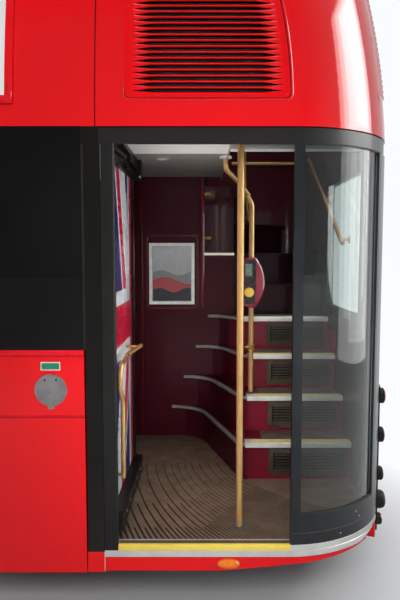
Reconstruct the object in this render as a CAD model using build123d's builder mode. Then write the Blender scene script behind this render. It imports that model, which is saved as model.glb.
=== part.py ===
from build123d import *
import math
import os

os.makedirs("parts", exist_ok=True)

# Frame: millimetres, +X to the tail, +Y to the offside, +Z up, origin at the front chassis flange.

# Plan of the body section
half_width = 1260
tail_x = 2316
corner_r = 578
off_corner_r = 260
wall = 50
seat = 0.3

# Heights
platform_top = 90
floor_t = 20
skirt_low = -43
edge_low = 29
pillar_low = 55
panel_low = -51
panel_joint = 739
window_sill = 1061
header_low = 2036
header_high = 2116
header_t = 24
header_in = 6
ceiling_t = 10
ceiling_low = header_high - ceiling_t
deck_top = 2241
deck_t = 41
section_top = 3040
lean_r = 4000
lean_slope = 0.05

# Entrance, along X
pillar_x0 = 751
pillar_x1 = 830
post_x1 = 897
post_t = 24
doorway_x1 = 1746
jamb_w = 48
corner_cx = tail_x - corner_r
corner_cy = corner_r - half_width
tail_split_y = corner_cy + 40
glass_end_deg = -34
bar_end_deg = -31
kick_top = 177
rail_top = 239

# Interior
poster_wall_y = 487
poster_wall_t = 30
screen_x0 = 1335
screen_x1 = 1478
well_x0 = 1467
well_y0 = 550 - half_width
bulkhead_x = 560
lining_t = 6

# Staircase
rise = 239
going = 243
first_nosing_y = 825 - half_width
tread_t = 26
riser_t = 18
overhang = 24
stair_x1 = tail_x - wall - lining_t
stair_y1 = half_width - wall - lining_t

# Gliding door: arm shaft, arm pivot on the leaf and the leaf's outer corner at rest, in plan
shaft_x = 845
shaft_y = 41.07 - half_width
pivot_x = 884.68
pivot_y = shaft_y + 448.25
leaf_x = 842
leaf_y = 50 - half_width
leaf_deg = 89
leaf_w = 833
leaf_t = 35
leaf_low = 140
leaf_high = 2020

# Underframe
rail_w = 60
rail_h = 90
rail_y = 450
rail_x1 = tail_x - 200
flange_t = 12
flange_w = 1120
flange_h = 116
bolt_r = 9
bolt_dy = 1000
bolt_dz = 44


def outline(inset):
    """Plan outline of the section, moved inward by inset, with its two rear corners."""
    x1 = tail_x - inset
    y0 = inset - half_width
    y1 = half_width - inset
    near_r = corner_r - inset
    off_r = off_corner_r - inset
    with BuildSketch() as plan:
        with BuildLine():
            Line((0, y0), (corner_cx, y0))
            CenterArc((corner_cx, corner_cy), near_r, -90, 90)
            Line((x1, corner_cy), (x1, y1 - off_r))
            CenterArc((x1 - off_r, y1 - off_r), off_r, 0, 90)
            Line((x1 - off_r, y1), (0, y1))
            Line((0, y1), (0, y0))
        make_face()
    return plan.sketch


def rect(x0, x1, y0, y1):
    """Rectangle in plan from its two corners."""
    with BuildSketch() as plan:
        with Locations(((x0 + x1) / 2, (y0 + y1) / 2)):
            Rectangle(x1 - x0, y1 - y0)
    return plan.sketch


def sector(deg0, deg1):
    """Wedge in plan about the centre of the entrance corner."""
    with BuildSketch() as plan:
        with BuildLine():
            a = (corner_cx, corner_cy)
            b = PolarLine(a, 1400, deg0)
            c = PolarLine(a, 1400, deg1)
            Line(b @ 1, c @ 1)
        make_face()
    return plan.sketch


def wall_band(outer, inner, region):
    """Strip in plan between two insets of the outline, kept inside a region."""
    with BuildSketch() as plan:
        add(outline(outer))
        add(outline(inner), mode=Mode.SUBTRACT)
        add(region, mode=Mode.INTERSECT)
    return plan.sketch


def lean(z):
    """How far the walls have come inward at height z above the header."""
    a = math.atan(lean_slope)
    up = lean_r * math.sin(a) + z - header_high
    return lean_r * math.cos(a) - math.sqrt(lean_r ** 2 - up ** 2)


def lean_face(plane, outer, inner, z0, z1):
    """Section of a leaning wall on a plane whose x points inward: an arc each side, flat ends."""
    zm = (z0 + z1) / 2
    with BuildSketch(plane) as section:
        with BuildLine():
            ThreePointArc((outer + lean(z0), z0), (outer + lean(zm), zm), (outer + lean(z1), z1))
            Line((outer + lean(z1), z1), (inner + lean(z1), z1))
            ThreePointArc((inner + lean(z1), z1), (inner + lean(zm), zm), (inner + lean(z0), z0))
            Line((inner + lean(z0), z0), (outer + lean(z0), z0))
        make_face()
    return section.sketch


def lean_wall(outer, inner, region, z0=header_high, z1=section_top):
    """Leaning wall carried along the nearside, the tail and the offside, kept inside a region."""
    near = Plane(origin=(0, -half_width, 0), x_dir=(0, 1, 0), z_dir=(1, 0, 0))
    tail = Plane(origin=(tail_x, corner_cy, 0), x_dir=(-1, 0, 0), z_dir=(0, 1, 0))
    off_y = half_width - off_corner_r
    off_corner = Plane(origin=(tail_x, off_y, 0), x_dir=(-1, 0, 0), z_dir=(0, 1, 0))
    off = Plane(origin=(0, half_width, 0), x_dir=(0, -1, 0), z_dir=(-1, 0, 0))
    with BuildPart() as band:
        extrude(lean_face(near, outer, inner, z0, z1), amount=corner_cx)
        revolve(lean_face(tail, outer, inner, z0, z1), Axis((corner_cx, corner_cy, 0), (0, 0, -1)), 90)
        extrude(lean_face(tail, outer, inner, z0, z1), amount=off_y - corner_cy)
        revolve(lean_face(off_corner, outer, inner, z0, z1), Axis((tail_x - off_corner_r, off_y, 0), (0, 0, 1)), 90)
        extrude(lean_face(off, outer, inner, z0, z1), amount=off_corner_r - tail_x)
        with BuildSketch(Plane.XY.offset(z0)):
            add(region)
        extrude(amount=z1 - z0, mode=Mode.INTERSECT)
    return band.part


def save(name, piece):
    """Labels a piece and writes it."""
    piece.part.label = name
    export_step(piece.part, "parts/" + name + ".step")


# Underframe: two box rails, crossmembers and the bolting flange at the front
with BuildPart() as underframe:
    rail_z = platform_top - floor_t - rail_h / 2
    for y in (-rail_y, rail_y):
        with Locations(((flange_t + rail_x1) / 2, y, rail_z)):
            Box(rail_x1 - flange_t, rail_w, rail_h)
    for x in (380, 1000, 1620, rail_x1):
        reach = half_width - wall - 12 if x < corner_cx else half_width - corner_r - wall
        with Locations((x, 0, platform_top - floor_t - 30)):
            Box(60, 2 * reach, 60)
    with Locations((flange_t / 2, 0, platform_top - floor_t - flange_h / 2)):
        Box(flange_t, flange_w, flange_h)
    with Locations(Plane.YZ.offset(flange_t)):
        with GridLocations(bolt_dy, bolt_dz, 2, 2):
            Hole(bolt_r, depth=2 * flange_t)
save("underframe", underframe)

# Platform floor on the underframe
with BuildPart() as platform_floor:
    with BuildSketch(Plane.XY.offset(platform_top - floor_t)):
        add(outline(wall + 12))
        add(rect(bulkhead_x + poster_wall_t, tail_x, poster_wall_y + poster_wall_t, half_width), mode=Mode.SUBTRACT)
    extrude(amount=floor_t)
save("platform_floor", platform_floor)

# Entrance step edge and the skirt below it, around the corner
edge_end_deg = -24
taper_x0 = 1424
taper_x1 = 1760
taper_z = -10
skirt_end_x = 2180
edge_rise_x = 2141


def corner_strip(x0):
    """Region from x0 along the doorway and round the corner, as far as the lamps."""
    with BuildSketch() as plan:
        add(rect(x0, corner_cx, -half_width - 10, corner_cy))
        add(sector(-92, edge_end_deg))
    return plan.sketch


entrance_region = rect(pillar_x0, tail_x + 50, -half_width - 10, tail_split_y)
with BuildPart() as step_edge:
    with BuildSketch(Plane.XY.offset(edge_low)):
        add(wall_band(0, wall + 12, corner_strip(pillar_x1 + seat)))
    extrude(amount=pillar_low - edge_low)
    with BuildSketch(Plane.XY.offset(pillar_low)):
        add(wall_band(post_t + seat, wall + 12, corner_strip(pillar_x1 + seat)))
        add(wall_band(0, wall + 12, corner_strip(post_x1 + seat)))
    extrude(amount=platform_top - pillar_low)
    with BuildSketch(Plane.XZ):
        with BuildLine():
            Polyline((edge_rise_x, edge_low), (edge_rise_x + 84, pillar_low + 20), (tail_x, pillar_low + 20),
                     (tail_x, edge_low - 1), (edge_rise_x, edge_low - 1), close=True)
        make_face()
    extrude(amount=2 * half_width, both=True, mode=Mode.SUBTRACT)
save("step_edge", step_edge)

with BuildPart() as skirt:
    with BuildSketch(Plane.XY.offset(skirt_low)):
        add(wall_band(3, 26, rect(pillar_x1, skirt_end_x, -half_width - 10, corner_cy)))
    extrude(amount=edge_low - skirt_low)
    with BuildSketch(Plane.XZ):
        with BuildLine():
            Polyline((taper_x0, skirt_low), (taper_x1, taper_z), (tail_x, edge_low), (tail_x, skirt_low - 1),
                     (taper_x0, skirt_low - 1), close=True)
        make_face()
    extrude(amount=2 * half_width, both=True, mode=Mode.SUBTRACT)
    with BuildSketch(Plane.XY.offset(skirt_low - 6)):
        add(rect(pillar_x0 - 4, pillar_x1, -half_width, -half_width + wall))
    extrude(amount=pillar_low + 6 - skirt_low)
save("skirt", skirt)

# Nearside bay: lower and upper body panel, window
with BuildPart() as side_panel_lower:
    with BuildSketch(Plane.XY.offset(panel_low)):
        add(wall_band(0, wall, rect(0, pillar_x0 - 9, -half_width, 0)))
    extrude(amount=panel_joint - panel_low)
save("side_panel_lower", side_panel_lower)

flap_x = 580
flap_z = 867
flap_r = 78
flap_t = 4
bowl_r = 64
hinge_z = flap_z + flap_r + 4
hinge_y = -half_width - 5
hinge_pin_r = 2.5
with BuildPart() as side_panel_upper:
    with BuildSketch(Plane.XY.offset(panel_joint)):
        add(wall_band(0, wall, rect(0, pillar_x0 - 9, -half_width, 0)))
    extrude(amount=window_sill - panel_joint)
    with Locations(Plane.XZ.offset(half_width) * Location((flap_x, flap_z, 0))):
        Hole(bowl_r, depth=wall - 12)
    for dx in (-16, 16):
        with Locations((flap_x + dx, -half_width - 4, hinge_z + 1)):
            Box(6, 8, 7)
    with Locations(Plane.YZ * Location((hinge_y, hinge_z, flap_x))):
        Cylinder(hinge_pin_r, 36)
save("side_panel_upper", side_panel_upper)

with BuildPart() as filler_flap:
    with Locations(Plane.XZ.offset(half_width + seat) * Location((flap_x, flap_z, flap_t / 2))):
        Cylinder(flap_r, flap_t)
    with Locations((flap_x, -half_width - seat - flap_t / 2, flap_z - flap_r - 5)):
        Box(30, flap_t, 20)
    with Locations(Plane.YZ * Location((hinge_y, hinge_z, flap_x))):
        Cylinder(4.5, 24)
        Cylinder(hinge_pin_r + seat, 30, mode=Mode.SUBTRACT)
save("filler_flap", filler_flap)

with BuildPart() as side_window:
    with BuildSketch(Plane.XY.offset(window_sill)):
        add(wall_band(2, 10, rect(0, pillar_x0 - 9, -half_width, 0)))
    extrude(amount=header_high - window_sill)
save("side_window", side_window)

window_bar = 50
with BuildPart() as side_window_frame:
    with BuildSketch(Plane.XY.offset(window_sill)):
        add(wall_band(10, wall, rect(0, pillar_x0 - 9, -half_width, 0)))
    extrude(amount=header_high - window_sill)
    with Locations(((pillar_x0 - 9) / 2, -half_width + wall / 2, (window_sill + header_high) / 2)):
        Box(pillar_x0 - 9 - 2 * window_bar, 2 * wall, header_high - window_sill - 2 * window_bar,
            mode=Mode.SUBTRACT)
save("side_window_frame", side_window_frame)

# Entrance pillar and rounded door post
with BuildPart() as entrance_pillar:
    with BuildSketch(Plane.XY.offset(pillar_low)):
        add(rect(pillar_x0, pillar_x1, -half_width, -half_width + wall))
    extrude(amount=header_low - pillar_low)
save("entrance_pillar", entrance_pillar)

# Structural post behind the entrance pillar, floor to ceiling
with BuildPart() as body_post:
    with BuildSketch(Plane.XY.offset(platform_top)):
        add(rect(pillar_x0 - 50, pillar_x1 - 30, -half_width + wall, -half_width + 2 * wall))
    extrude(amount=ceiling_low - platform_top)
save("body_post", body_post)

with BuildPart() as door_post:
    with BuildSketch(Plane.XY.offset(pillar_low)):
        add(rect(pillar_x1, post_x1, -half_width, -half_width + post_t))
    extrude(amount=header_low - pillar_low)
    fillet(door_post.edges().filter_by(Axis.Z).sort_by(Axis.X)[-2:], post_t / 2 - 1)
save("door_post", door_post)

# Header band over the entrance
with BuildPart() as header_band:
    with BuildSketch(Plane.XY.offset(header_low)):
        add(wall_band(header_in, header_t, entrance_region))
    extrude(amount=header_high - header_low)
save("header_band", header_band)

# Curved corner glass in its frame
with BuildPart() as corner_glass:
    with BuildSketch(Plane.XY.offset(rail_top)):
        add(wall_band(14, 20, rect(doorway_x1 + jamb_w, tail_x, -half_width, corner_cy)))
        add(sector(-92, glass_end_deg), mode=Mode.INTERSECT)
    extrude(amount=header_low - rail_top)
save("corner_glass", corner_glass)

jamb_region = rect(doorway_x1, doorway_x1 + jamb_w, -half_width, -1100)
with BuildPart() as corner_frame:
    with BuildSketch(Plane.XY.offset(platform_top)):
        add(wall_band(0, 34, jamb_region))
    extrude(amount=header_low - platform_top)
    with BuildSketch(Plane.XY.offset(platform_top)):
        add(wall_band(0, 34, rect(doorway_x1, tail_x, -half_width, corner_cy)))
        add(sector(-115, bar_end_deg), mode=Mode.INTERSECT)
    extrude(amount=rail_top - platform_top)
    with BuildSketch(Plane.XY.offset(platform_top)):
        add(wall_band(0, 34, sector(glass_end_deg, bar_end_deg)))
    extrude(amount=header_low - platform_top)
save("corner_frame", corner_frame)

with BuildPart() as rear_pillar:
    with BuildSketch(Plane.XY.offset(platform_top)):
        add(wall_band(0, wall, sector(bar_end_deg, 0)))
        add(rect(tail_x - wall, tail_x, corner_cy, tail_split_y))
    extrude(amount=header_low - platform_top)
save("rear_pillar", rear_pillar)

# Panels between the decks lean inward: nearside front, then round the entrance corner
seam_x = 810
with BuildPart() as upper_panel_front:
    add(lean_wall(0, wall, rect(0, seam_x, -half_width, 0)))
save("upper_panel_front", upper_panel_front)

louvre_x0 = 947
louvre_x1 = corner_cx - 14
louvre_z0 = 2245
louvre_z1 = section_top - 135
louvre_corner_r = 30
louvre_curve = 2.1e-4
louvre_t = 16
slot_pitch = 27.8
slot_h = 14
slot_inset = 35
slot_point = 90


def louvre_edge(z):
    """Where the rear edge of the side louvre panel stands at height z: it leans with the tail."""
    return louvre_x1 - louvre_curve * (z - louvre_z0) ** 2


def louvre_outline():
    """Outline of the side louvre panel, seen from the nearside."""
    zm = (louvre_z0 + louvre_z1) / 2
    with BuildSketch(Plane.XZ) as face:
        with BuildLine():
            Polyline((louvre_edge(louvre_z1), louvre_z1), (louvre_x0, louvre_z1), (louvre_x0, louvre_z0),
                     (louvre_x1, louvre_z0))
            ThreePointArc((louvre_x1, louvre_z0), (louvre_edge(zm), zm), (louvre_edge(louvre_z1), louvre_z1))
        make_face()
        fillet(face.vertices(), louvre_corner_r)
    return face.sketch


def slot(plane, tip0, tip1, z):
    """Louvre slot, pointed at both ends."""
    with BuildSketch(plane) as face:
        with BuildLine():
            Polyline((tip0, z), (tip0 + slot_point, z + slot_h / 2), (tip1 - slot_point, z + slot_h / 2), (tip1, z),
                     (tip1 - slot_point, z - slot_h / 2), (tip0 + slot_point, z - slot_h / 2), close=True)
        make_face()
    return face.sketch


slot_z = [louvre_z0 + slot_inset + slot_pitch * k for k in range(22)]
rear_louvre_deg = -34
rear_louvre_y1 = -60
rear_slot_z = [z for z in slot_z if z > louvre_z0 + 70]
rear_louvre_z0 = rear_slot_z[0] - slot_inset


def rear_louvre_region(gap):
    """Plan region of the rear louvre, round the corner and along the tail, smaller by gap."""
    turn = math.degrees(gap / corner_r)
    with BuildSketch() as plan:
        add(sector(rear_louvre_deg + turn, 0))
        add(rect(corner_cx, tail_x + 60, corner_cy - 0.01, rear_louvre_y1 - gap))
    return plan.sketch


rear_louvre_hole = lean_wall(-30, wall + 30, rear_louvre_region(0), rear_louvre_z0, louvre_z1)
with BuildPart() as upper_panel_corner:
    add(lean_wall(0, wall, rect(seam_x, tail_x, -half_width, tail_split_y)))
    extrude(louvre_outline(), amount=half_width + 100, mode=Mode.SUBTRACT)
    add(rear_louvre_hole, mode=Mode.SUBTRACT)
save("upper_panel_corner", upper_panel_corner)

with BuildPart() as side_louvre:
    add(lean_wall(0, louvre_t, rect(louvre_x0, louvre_x1, -half_width, 0), louvre_z0, louvre_z1))
    with BuildSketch(Plane.XZ):
        add(louvre_outline())
        offset(amount=-seat, mode=Mode.REPLACE)
    extrude(amount=half_width + 100, mode=Mode.INTERSECT)
    for z in slot_z:
        slot_face = slot(Plane.XZ, louvre_x0 + slot_inset, louvre_edge(z) - slot_inset, z)
        extrude(slot_face, amount=half_width + 100, mode=Mode.SUBTRACT)
save("side_louvre", side_louvre)

with BuildPart() as rear_louvre:
    add(lean_wall(0, louvre_t, rear_louvre_region(seat), rear_louvre_z0 + seat, louvre_z1 - seat))
    tip_y = corner_cy + (corner_r - lean(louvre_z1)) * math.sin(math.radians(rear_louvre_deg + 5))
    for z in rear_slot_z:
        slot_face = slot(Plane.YZ.offset(tail_x - 320), tip_y, rear_louvre_y1 - slot_inset, z)
        extrude(slot_face, amount=400, mode=Mode.SUBTRACT)
save("rear_louvre", rear_louvre)

advert_x1 = 430
advert_z0 = 2218
advert_rim = 38
advert_t = 12
with BuildPart() as advert_board:
    add(lean_wall(-advert_t, -seat, rect(0, advert_x1, -half_width - 50, 0), advert_z0, section_top - 222))
    add(lean_wall(-advert_t - 1, -5, rect(0, advert_x1 - advert_rim, -half_width - 50, 0),
                  advert_z0 + advert_rim, section_top - 222 - advert_rim), mode=Mode.SUBTRACT)
save("advert_board", advert_board)

# Tail: lower panel with the engine door opening, upper panel
hatch_y0 = half_width - 1200
hatch_y1 = half_width - 400
hatch_z0 = 120
hatch_z1 = 980
hatch_gap = 6
hatch_hinge_x = tail_x + 9
hatch_hinge_z = hatch_z1 + 4
hatch_hinge_y = (hatch_y0 + 140, hatch_y1 - 140)
hatch_pin_r = 3.5
tail_region = rect(corner_cx + 200, tail_x + 10, tail_split_y, half_width)
with BuildPart() as tail_panel_lower:
    with BuildSketch(Plane.XY.offset(skirt_low)):
        add(wall_band(0, wall, tail_region))
    extrude(amount=window_sill - skirt_low)
    with BuildSketch(Plane.XY.offset(skirt_low)):
        add(wall_band(0, wall, sector(edge_end_deg, 0)))
        add(rect(tail_x - wall, tail_x, corner_cy, tail_split_y))
    extrude(amount=platform_top - skirt_low)
    with Locations((tail_x, (hatch_y0 + hatch_y1) / 2, (hatch_z0 + hatch_z1) / 2)):
        Box(3 * wall, hatch_y1 - hatch_y0, hatch_z1 - hatch_z0, mode=Mode.SUBTRACT)
    for y in hatch_hinge_y:
        with Locations((tail_x + 7, y - 40, hatch_hinge_z + 3), (tail_x + 7, y + 40, hatch_hinge_z + 3)):
            Box(14, 16, 24)
        with Locations(Plane.XZ.offset(-y) * Location((hatch_hinge_x, hatch_hinge_z, 0))):
            Cylinder(hatch_pin_r, 84)
save("tail_panel_lower", tail_panel_lower)

with BuildPart() as engine_door:
    with Locations((tail_x - 16, (hatch_y0 + hatch_y1) / 2, (hatch_z0 + hatch_z1) / 2)):
        Box(32, hatch_y1 - hatch_y0 - 2 * hatch_gap, hatch_z1 - hatch_z0 - 2 * hatch_gap)
    for y in hatch_hinge_y:
        with Locations((tail_x + 2.5, y, hatch_hinge_z - 40)):
            Box(5, 52, 70)
        with Locations(Plane.XZ.offset(-y) * Location((hatch_hinge_x, hatch_hinge_z, 0))):
            Cylinder(hatch_pin_r + 5, 52)
            Cylinder(hatch_pin_r + seat, 60, mode=Mode.SUBTRACT)
save("engine_door", engine_door)

tail_window_y0 = 740 - half_width
tail_window_y1 = half_width - 840
with BuildPart() as tail_panel_upper:
    with BuildSketch(Plane.XY.offset(window_sill)):
        add(wall_band(0, wall, tail_region))
    extrude(amount=header_high - window_sill)
    add(lean_wall(0, wall, tail_region))
    with Locations((tail_x, (tail_window_y0 + tail_window_y1) / 2, (window_sill + 60 + header_low) / 2)):
        Box(3 * wall, tail_window_y1 - tail_window_y0, header_low - window_sill - 60, mode=Mode.SUBTRACT)
    add(rear_louvre_hole, mode=Mode.SUBTRACT)
save("tail_panel_upper", tail_panel_upper)

with BuildPart() as tail_window:
    with Locations((tail_x - 12, (tail_window_y0 + tail_window_y1) / 2, (window_sill + 60 + header_low) / 2)):
        Box(8, tail_window_y1 - tail_window_y0, header_low - window_sill - 60)
save("tail_window", tail_window)

bumper_y0 = tail_split_y + 40
bumper_y1 = half_width - 390
bumper_out = 45
with BuildPart() as bumper:
    with BuildSketch(Plane.XY.offset(-20)):
        with BuildLine():
            Polyline((tail_x, bumper_y0), (tail_x + bumper_out, bumper_y0 + 40),
                     (tail_x + bumper_out, bumper_y1 - 40), (tail_x, bumper_y1), close=True)
        make_face()
    extrude(amount=110)
save("bumper", bumper)

lamp_rows = [  # height, radius
    (720, 44),
    (495, 44),
    (268, 40),
    (114, 52),
    (-2, 34),
]
lamp_plate_t = 8
lamp_out = 22
for side, y, region in (
    ("near", corner_cy - 88, sector(-15, -3)),
    ("off", half_width - 315, rect(tail_x - 20, tail_x + 20, half_width - 375, half_width - off_corner_r)),
):
    with BuildPart() as lamps:
        for z, r in lamp_rows:
            with Locations(Plane.YZ.offset(tail_x - 30) * Location((y, z, (lamp_out + 30) / 2))):
                Cylinder(r, lamp_out + 30)
        with BuildSketch(Plane.XY.offset(-400)):
            add(outline(0))
        extrude(amount=1800, mode=Mode.SUBTRACT)
        with BuildSketch(Plane.XY.offset(skirt_low + 1)):
            add(wall_band(-lamp_plate_t, 0, region))
        extrude(amount=lamp_rows[0][0] + 64 - skirt_low)
    save("lamps_" + side, lamps)

# Offside wall
off_region = rect(0, corner_cx + 200, 0, half_width)
with BuildPart() as off_panel_lower:
    with BuildSketch(Plane.XY.offset(panel_low)):
        add(wall_band(0, wall, off_region))
    extrude(amount=window_sill - panel_low)
save("off_panel_lower", off_panel_lower)

off_window_x1 = 510
with BuildPart() as off_panel_upper:
    with BuildSketch(Plane.XY.offset(window_sill)):
        add(wall_band(0, wall, off_region))
    extrude(amount=header_high - window_sill)
    add(lean_wall(0, wall, off_region))
    with Locations((off_window_x1 / 2 + 25, half_width, (window_sill + header_high) / 2 + 20)):
        Box(off_window_x1 - 50, 3 * wall, header_high - window_sill - 40, mode=Mode.SUBTRACT)
save("off_panel_upper", off_panel_upper)

with BuildPart() as off_window:
    with Locations((off_window_x1 / 2 + 25, half_width - 8, (window_sill + header_high) / 2 + 20)):
        Box(off_window_x1 - 50, 8, header_high - window_sill - 40)
save("off_window", off_window)

# Ceiling and upper deck with the stairwell cut out
def well_plan():
    """Plan of the stairwell, open over the lower steps and behind the poster wall."""
    with BuildSketch() as plan:
        add(rect(well_x0, tail_x, well_y0, half_width))
        add(rect(screen_x0, tail_x, poster_wall_y, half_width))
    return plan.sketch


with BuildPart() as ceiling:
    with BuildSketch(Plane.XY.offset(ceiling_low)):
        add(wall_band(header_t, wall + 12, entrance_region))
        add(outline(wall))
        add(well_plan(), mode=Mode.SUBTRACT)
    extrude(amount=ceiling_t)
save("ceiling", ceiling)

with BuildPart() as upper_deck:
    with BuildSketch(Plane.XY.offset(deck_top - deck_t)):
        add(outline(wall))
        add(well_plan(), mode=Mode.SUBTRACT)
    extrude(amount=deck_t)
    add(lean_wall(0, wall, rect(0, tail_x, -half_width, half_width), deck_top - deck_t - 1, deck_top + 1),
        mode=Mode.SUBTRACT)
save("upper_deck", upper_deck)

# Poster wall with a rounded bead at its end, full height to the screen and low beside the stairs
bead_r = 18
bead_low = 1110
with BuildPart() as poster_wall:
    with BuildSketch(Plane.XY.offset(platform_top)):
        add(rect(bulkhead_x, screen_x0, poster_wall_y, poster_wall_y + poster_wall_t))
        add(rect(bulkhead_x, bulkhead_x + poster_wall_t, poster_wall_y, half_width - wall))
    extrude(amount=ceiling_low - platform_top)
    with BuildSketch(Plane.XY.offset(platform_top)):
        add(rect(screen_x0, screen_x1, poster_wall_y, poster_wall_y + poster_wall_t))
    extrude(amount=6 * rise)
    with Locations((screen_x0 - bead_r + 1, poster_wall_y + 4, (bead_low + ceiling_low) / 2)):
        Cylinder(bead_r, ceiling_low - bead_low)
save("poster_wall", poster_wall)

with BuildPart() as glass_screen:
    with BuildSketch(Plane.XY.offset(platform_top + 6 * rise)):
        add(rect(screen_x0 + seat, screen_x1, poster_wall_y + 10, poster_wall_y + 18))
    extrude(amount=header_low - platform_top - 6 * rise)
save("glass_screen", glass_screen)

# Curved steps: each nosing leaves the poster wall, sweeps to the door and turns along the bus
steps = [  # wall x, bend x, bend y, turn x, bend radius
    (1080, 1288, 469, 1547, 280),
    (1174, 1352, 469, 1580, 240),
    (1268, 1445, 469, 1610, 190),
    (1363, 1452, 463, 1604, 60),
]
turn_r = 70


def tread_plan(i, setback):
    """Plan of everything behind nosing i, moved back by setback."""
    wall_x, bend_x, bend_y, turn_x, bend_r = steps[i]
    y = first_nosing_y + going * i
    with BuildSketch() as plan:
        with BuildLine():
            Polyline((2 * wall_x - bend_x, 2 * poster_wall_y - bend_y), (bend_x, bend_y), (turn_x, y),
                     (tail_x + 200, y), (tail_x + 200, 900), (2 * wall_x - bend_x, 900), close=True)
        make_face()
        corner = plan.vertices().sort_by_distance((bend_x, bend_y))[0]
        fillet(corner, bend_r)
        corner = plan.vertices().sort_by_distance((turn_x, y))[0]
        fillet(corner, turn_r)
        if setback:
            offset(amount=-setback, kind=Kind.INTERSECTION, mode=Mode.REPLACE)
        add(rect(wall_x - 300, stair_x1, first_nosing_y - 100, poster_wall_y), mode=Mode.INTERSECT)
    return plan.sketch


with BuildPart() as stair_lower:
    for i in range(len(steps)):
        top = platform_top + rise * (i + 1)
        with BuildSketch(Plane.XY.offset(top - tread_t)):
            add(tread_plan(i, 0))
            if i + 1 < len(steps):
                add(tread_plan(i + 1, overhang + riser_t), mode=Mode.SUBTRACT)
        extrude(amount=tread_t)
        with BuildSketch(Plane.XY.offset(top - rise)):
            add(tread_plan(i, overhang))
            add(tread_plan(i, overhang + riser_t), mode=Mode.SUBTRACT)
        extrude(amount=rise - tread_t)
save("stair_lower", stair_lower)

# Winding steps to the upper deck behind the poster wall
y5 = first_nosing_y + going * len(steps)
winders = [  # nosing line from x, y to x, y
    (screen_x1, y5, stair_x1, y5),
    (screen_x1, poster_wall_y + 40, stair_x1, 800),
    (screen_x1, y5 + 30, 2060, stair_y1),
    (screen_x1 - 40, y5 + 30, 1640, stair_y1),
]


def winder_plan(i, setback):
    """Plan of everything behind the nosing line of winding step i, moved back by setback."""
    x0, y0, x1, y1 = winders[i]
    along = (Vector(x1, y1) - Vector(x0, y0)).normalized()
    back = along.rotate(Axis.Z, 90)
    a = Vector(x0, y0) - along * 900 + back * setback
    b = Vector(x1, y1) + along * 900 + back * setback
    with BuildSketch() as plan:
        with BuildLine():
            Polyline(a, b, b + back * 3000, a + back * 3000, close=True)
        make_face()
        if i == 0:
            add(rect(screen_x1, stair_x1, poster_wall_y, stair_y1), mode=Mode.INTERSECT)
            add(outline(wall + lining_t), mode=Mode.INTERSECT)
        else:
            add(rect(screen_x0, stair_x1, poster_wall_y + poster_wall_t, stair_y1), mode=Mode.INTERSECT)
            add(outline(wall + lining_t), mode=Mode.INTERSECT)
    return plan.sketch


with BuildPart() as stair_upper:
    for i in range(len(winders)):
        top = platform_top + rise * (len(steps) + i + 1)
        with BuildSketch(Plane.XY.offset(top - tread_t)):
            add(winder_plan(i, 0))
            if i + 1 < len(winders):
                add(winder_plan(i + 1, overhang + riser_t), mode=Mode.SUBTRACT)
        extrude(amount=tread_t)
        with BuildSketch(Plane.XY.offset(top - rise)):
            add(winder_plan(i, overhang))
            add(winder_plan(i, overhang + riser_t), mode=Mode.SUBTRACT)
        extrude(amount=rise - tread_t)
    with BuildSketch(Plane.XY.offset(deck_top - rise)):
        add(rect(screen_x0, screen_x0 + riser_t, poster_wall_y + poster_wall_t, stair_y1))
    extrude(amount=rise - deck_t)
    add(lean_wall(0, wall + lining_t, rect(screen_x0 - 10, tail_x, poster_wall_y, half_width)), mode=Mode.SUBTRACT)
save("stair_upper", stair_upper)

# Maroon lining of the stairwell on the offside and the tail
with BuildPart() as stair_lining:
    with BuildSketch(Plane.XY.offset(platform_top)):
        add(wall_band(wall, wall + lining_t, rect(screen_x0, tail_x, tail_split_y, half_width)))
    extrude(amount=header_high - platform_top)
    add(lean_wall(wall, wall + lining_t, rect(screen_x0, tail_x, tail_split_y, half_width)))
    with Locations((tail_x - wall, (tail_window_y0 + tail_window_y1) / 2, (window_sill + 60 + header_low) / 2)):
        Box(wall, tail_window_y1 - tail_window_y0, header_low - window_sill - 60, mode=Mode.SUBTRACT)
    with Locations((tail_x - wall, (hatch_y0 + hatch_y1) / 2, (hatch_z0 + hatch_z1) / 2)):
        Box(wall, hatch_y1 - hatch_y0, hatch_z1 - hatch_z0, mode=Mode.SUBTRACT)
save("stair_lining", stair_lining)

# Engine and cooling pack as plain blocks
with BuildPart() as engine_block:
    with Locations((tail_x - 556, stair_y1 - 344, platform_top - floor_t + 360)):
        Box(860, 560, 720)
    chamfer(engine_block.edges().filter_by(Axis.X), 40)
save("engine_block", engine_block)

with BuildPart() as cooling_pack:
    with Locations(((louvre_x0 + louvre_x1) / 2, -half_width + 320, deck_top + 320)):
        Box(680, 240, 640)
    chamfer(cooling_pack.edges().filter_by(Axis.X), 20)
save("cooling_pack", cooling_pack)

# Poles and rails
pole_r = 17.5
rail_r = 15
pole_x = 1505
pole_y = -1075
flange_r = 34
with BuildPart() as entrance_pole:
    with Locations((pole_x, pole_y, (platform_top + ceiling_low) / 2)):
        Cylinder(pole_r, ceiling_low - platform_top)
    with Locations((pole_x, pole_y, platform_top + 4), (pole_x, pole_y, ceiling_low - 4)):
        Cylinder(flange_r, 8)
save("entrance_pole", entrance_pole)


def tube(points, bend, r):
    """Round bar of radius r along a polyline whose corners have radius bend."""
    with BuildPart() as bar:
        with BuildLine():
            path = FilletPolyline(*points, radius=bend)
        with BuildSketch(Plane(origin=path @ 0, z_dir=path % 0)):
            Circle(r)
        sweep(path=path)
    return bar.part


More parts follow.
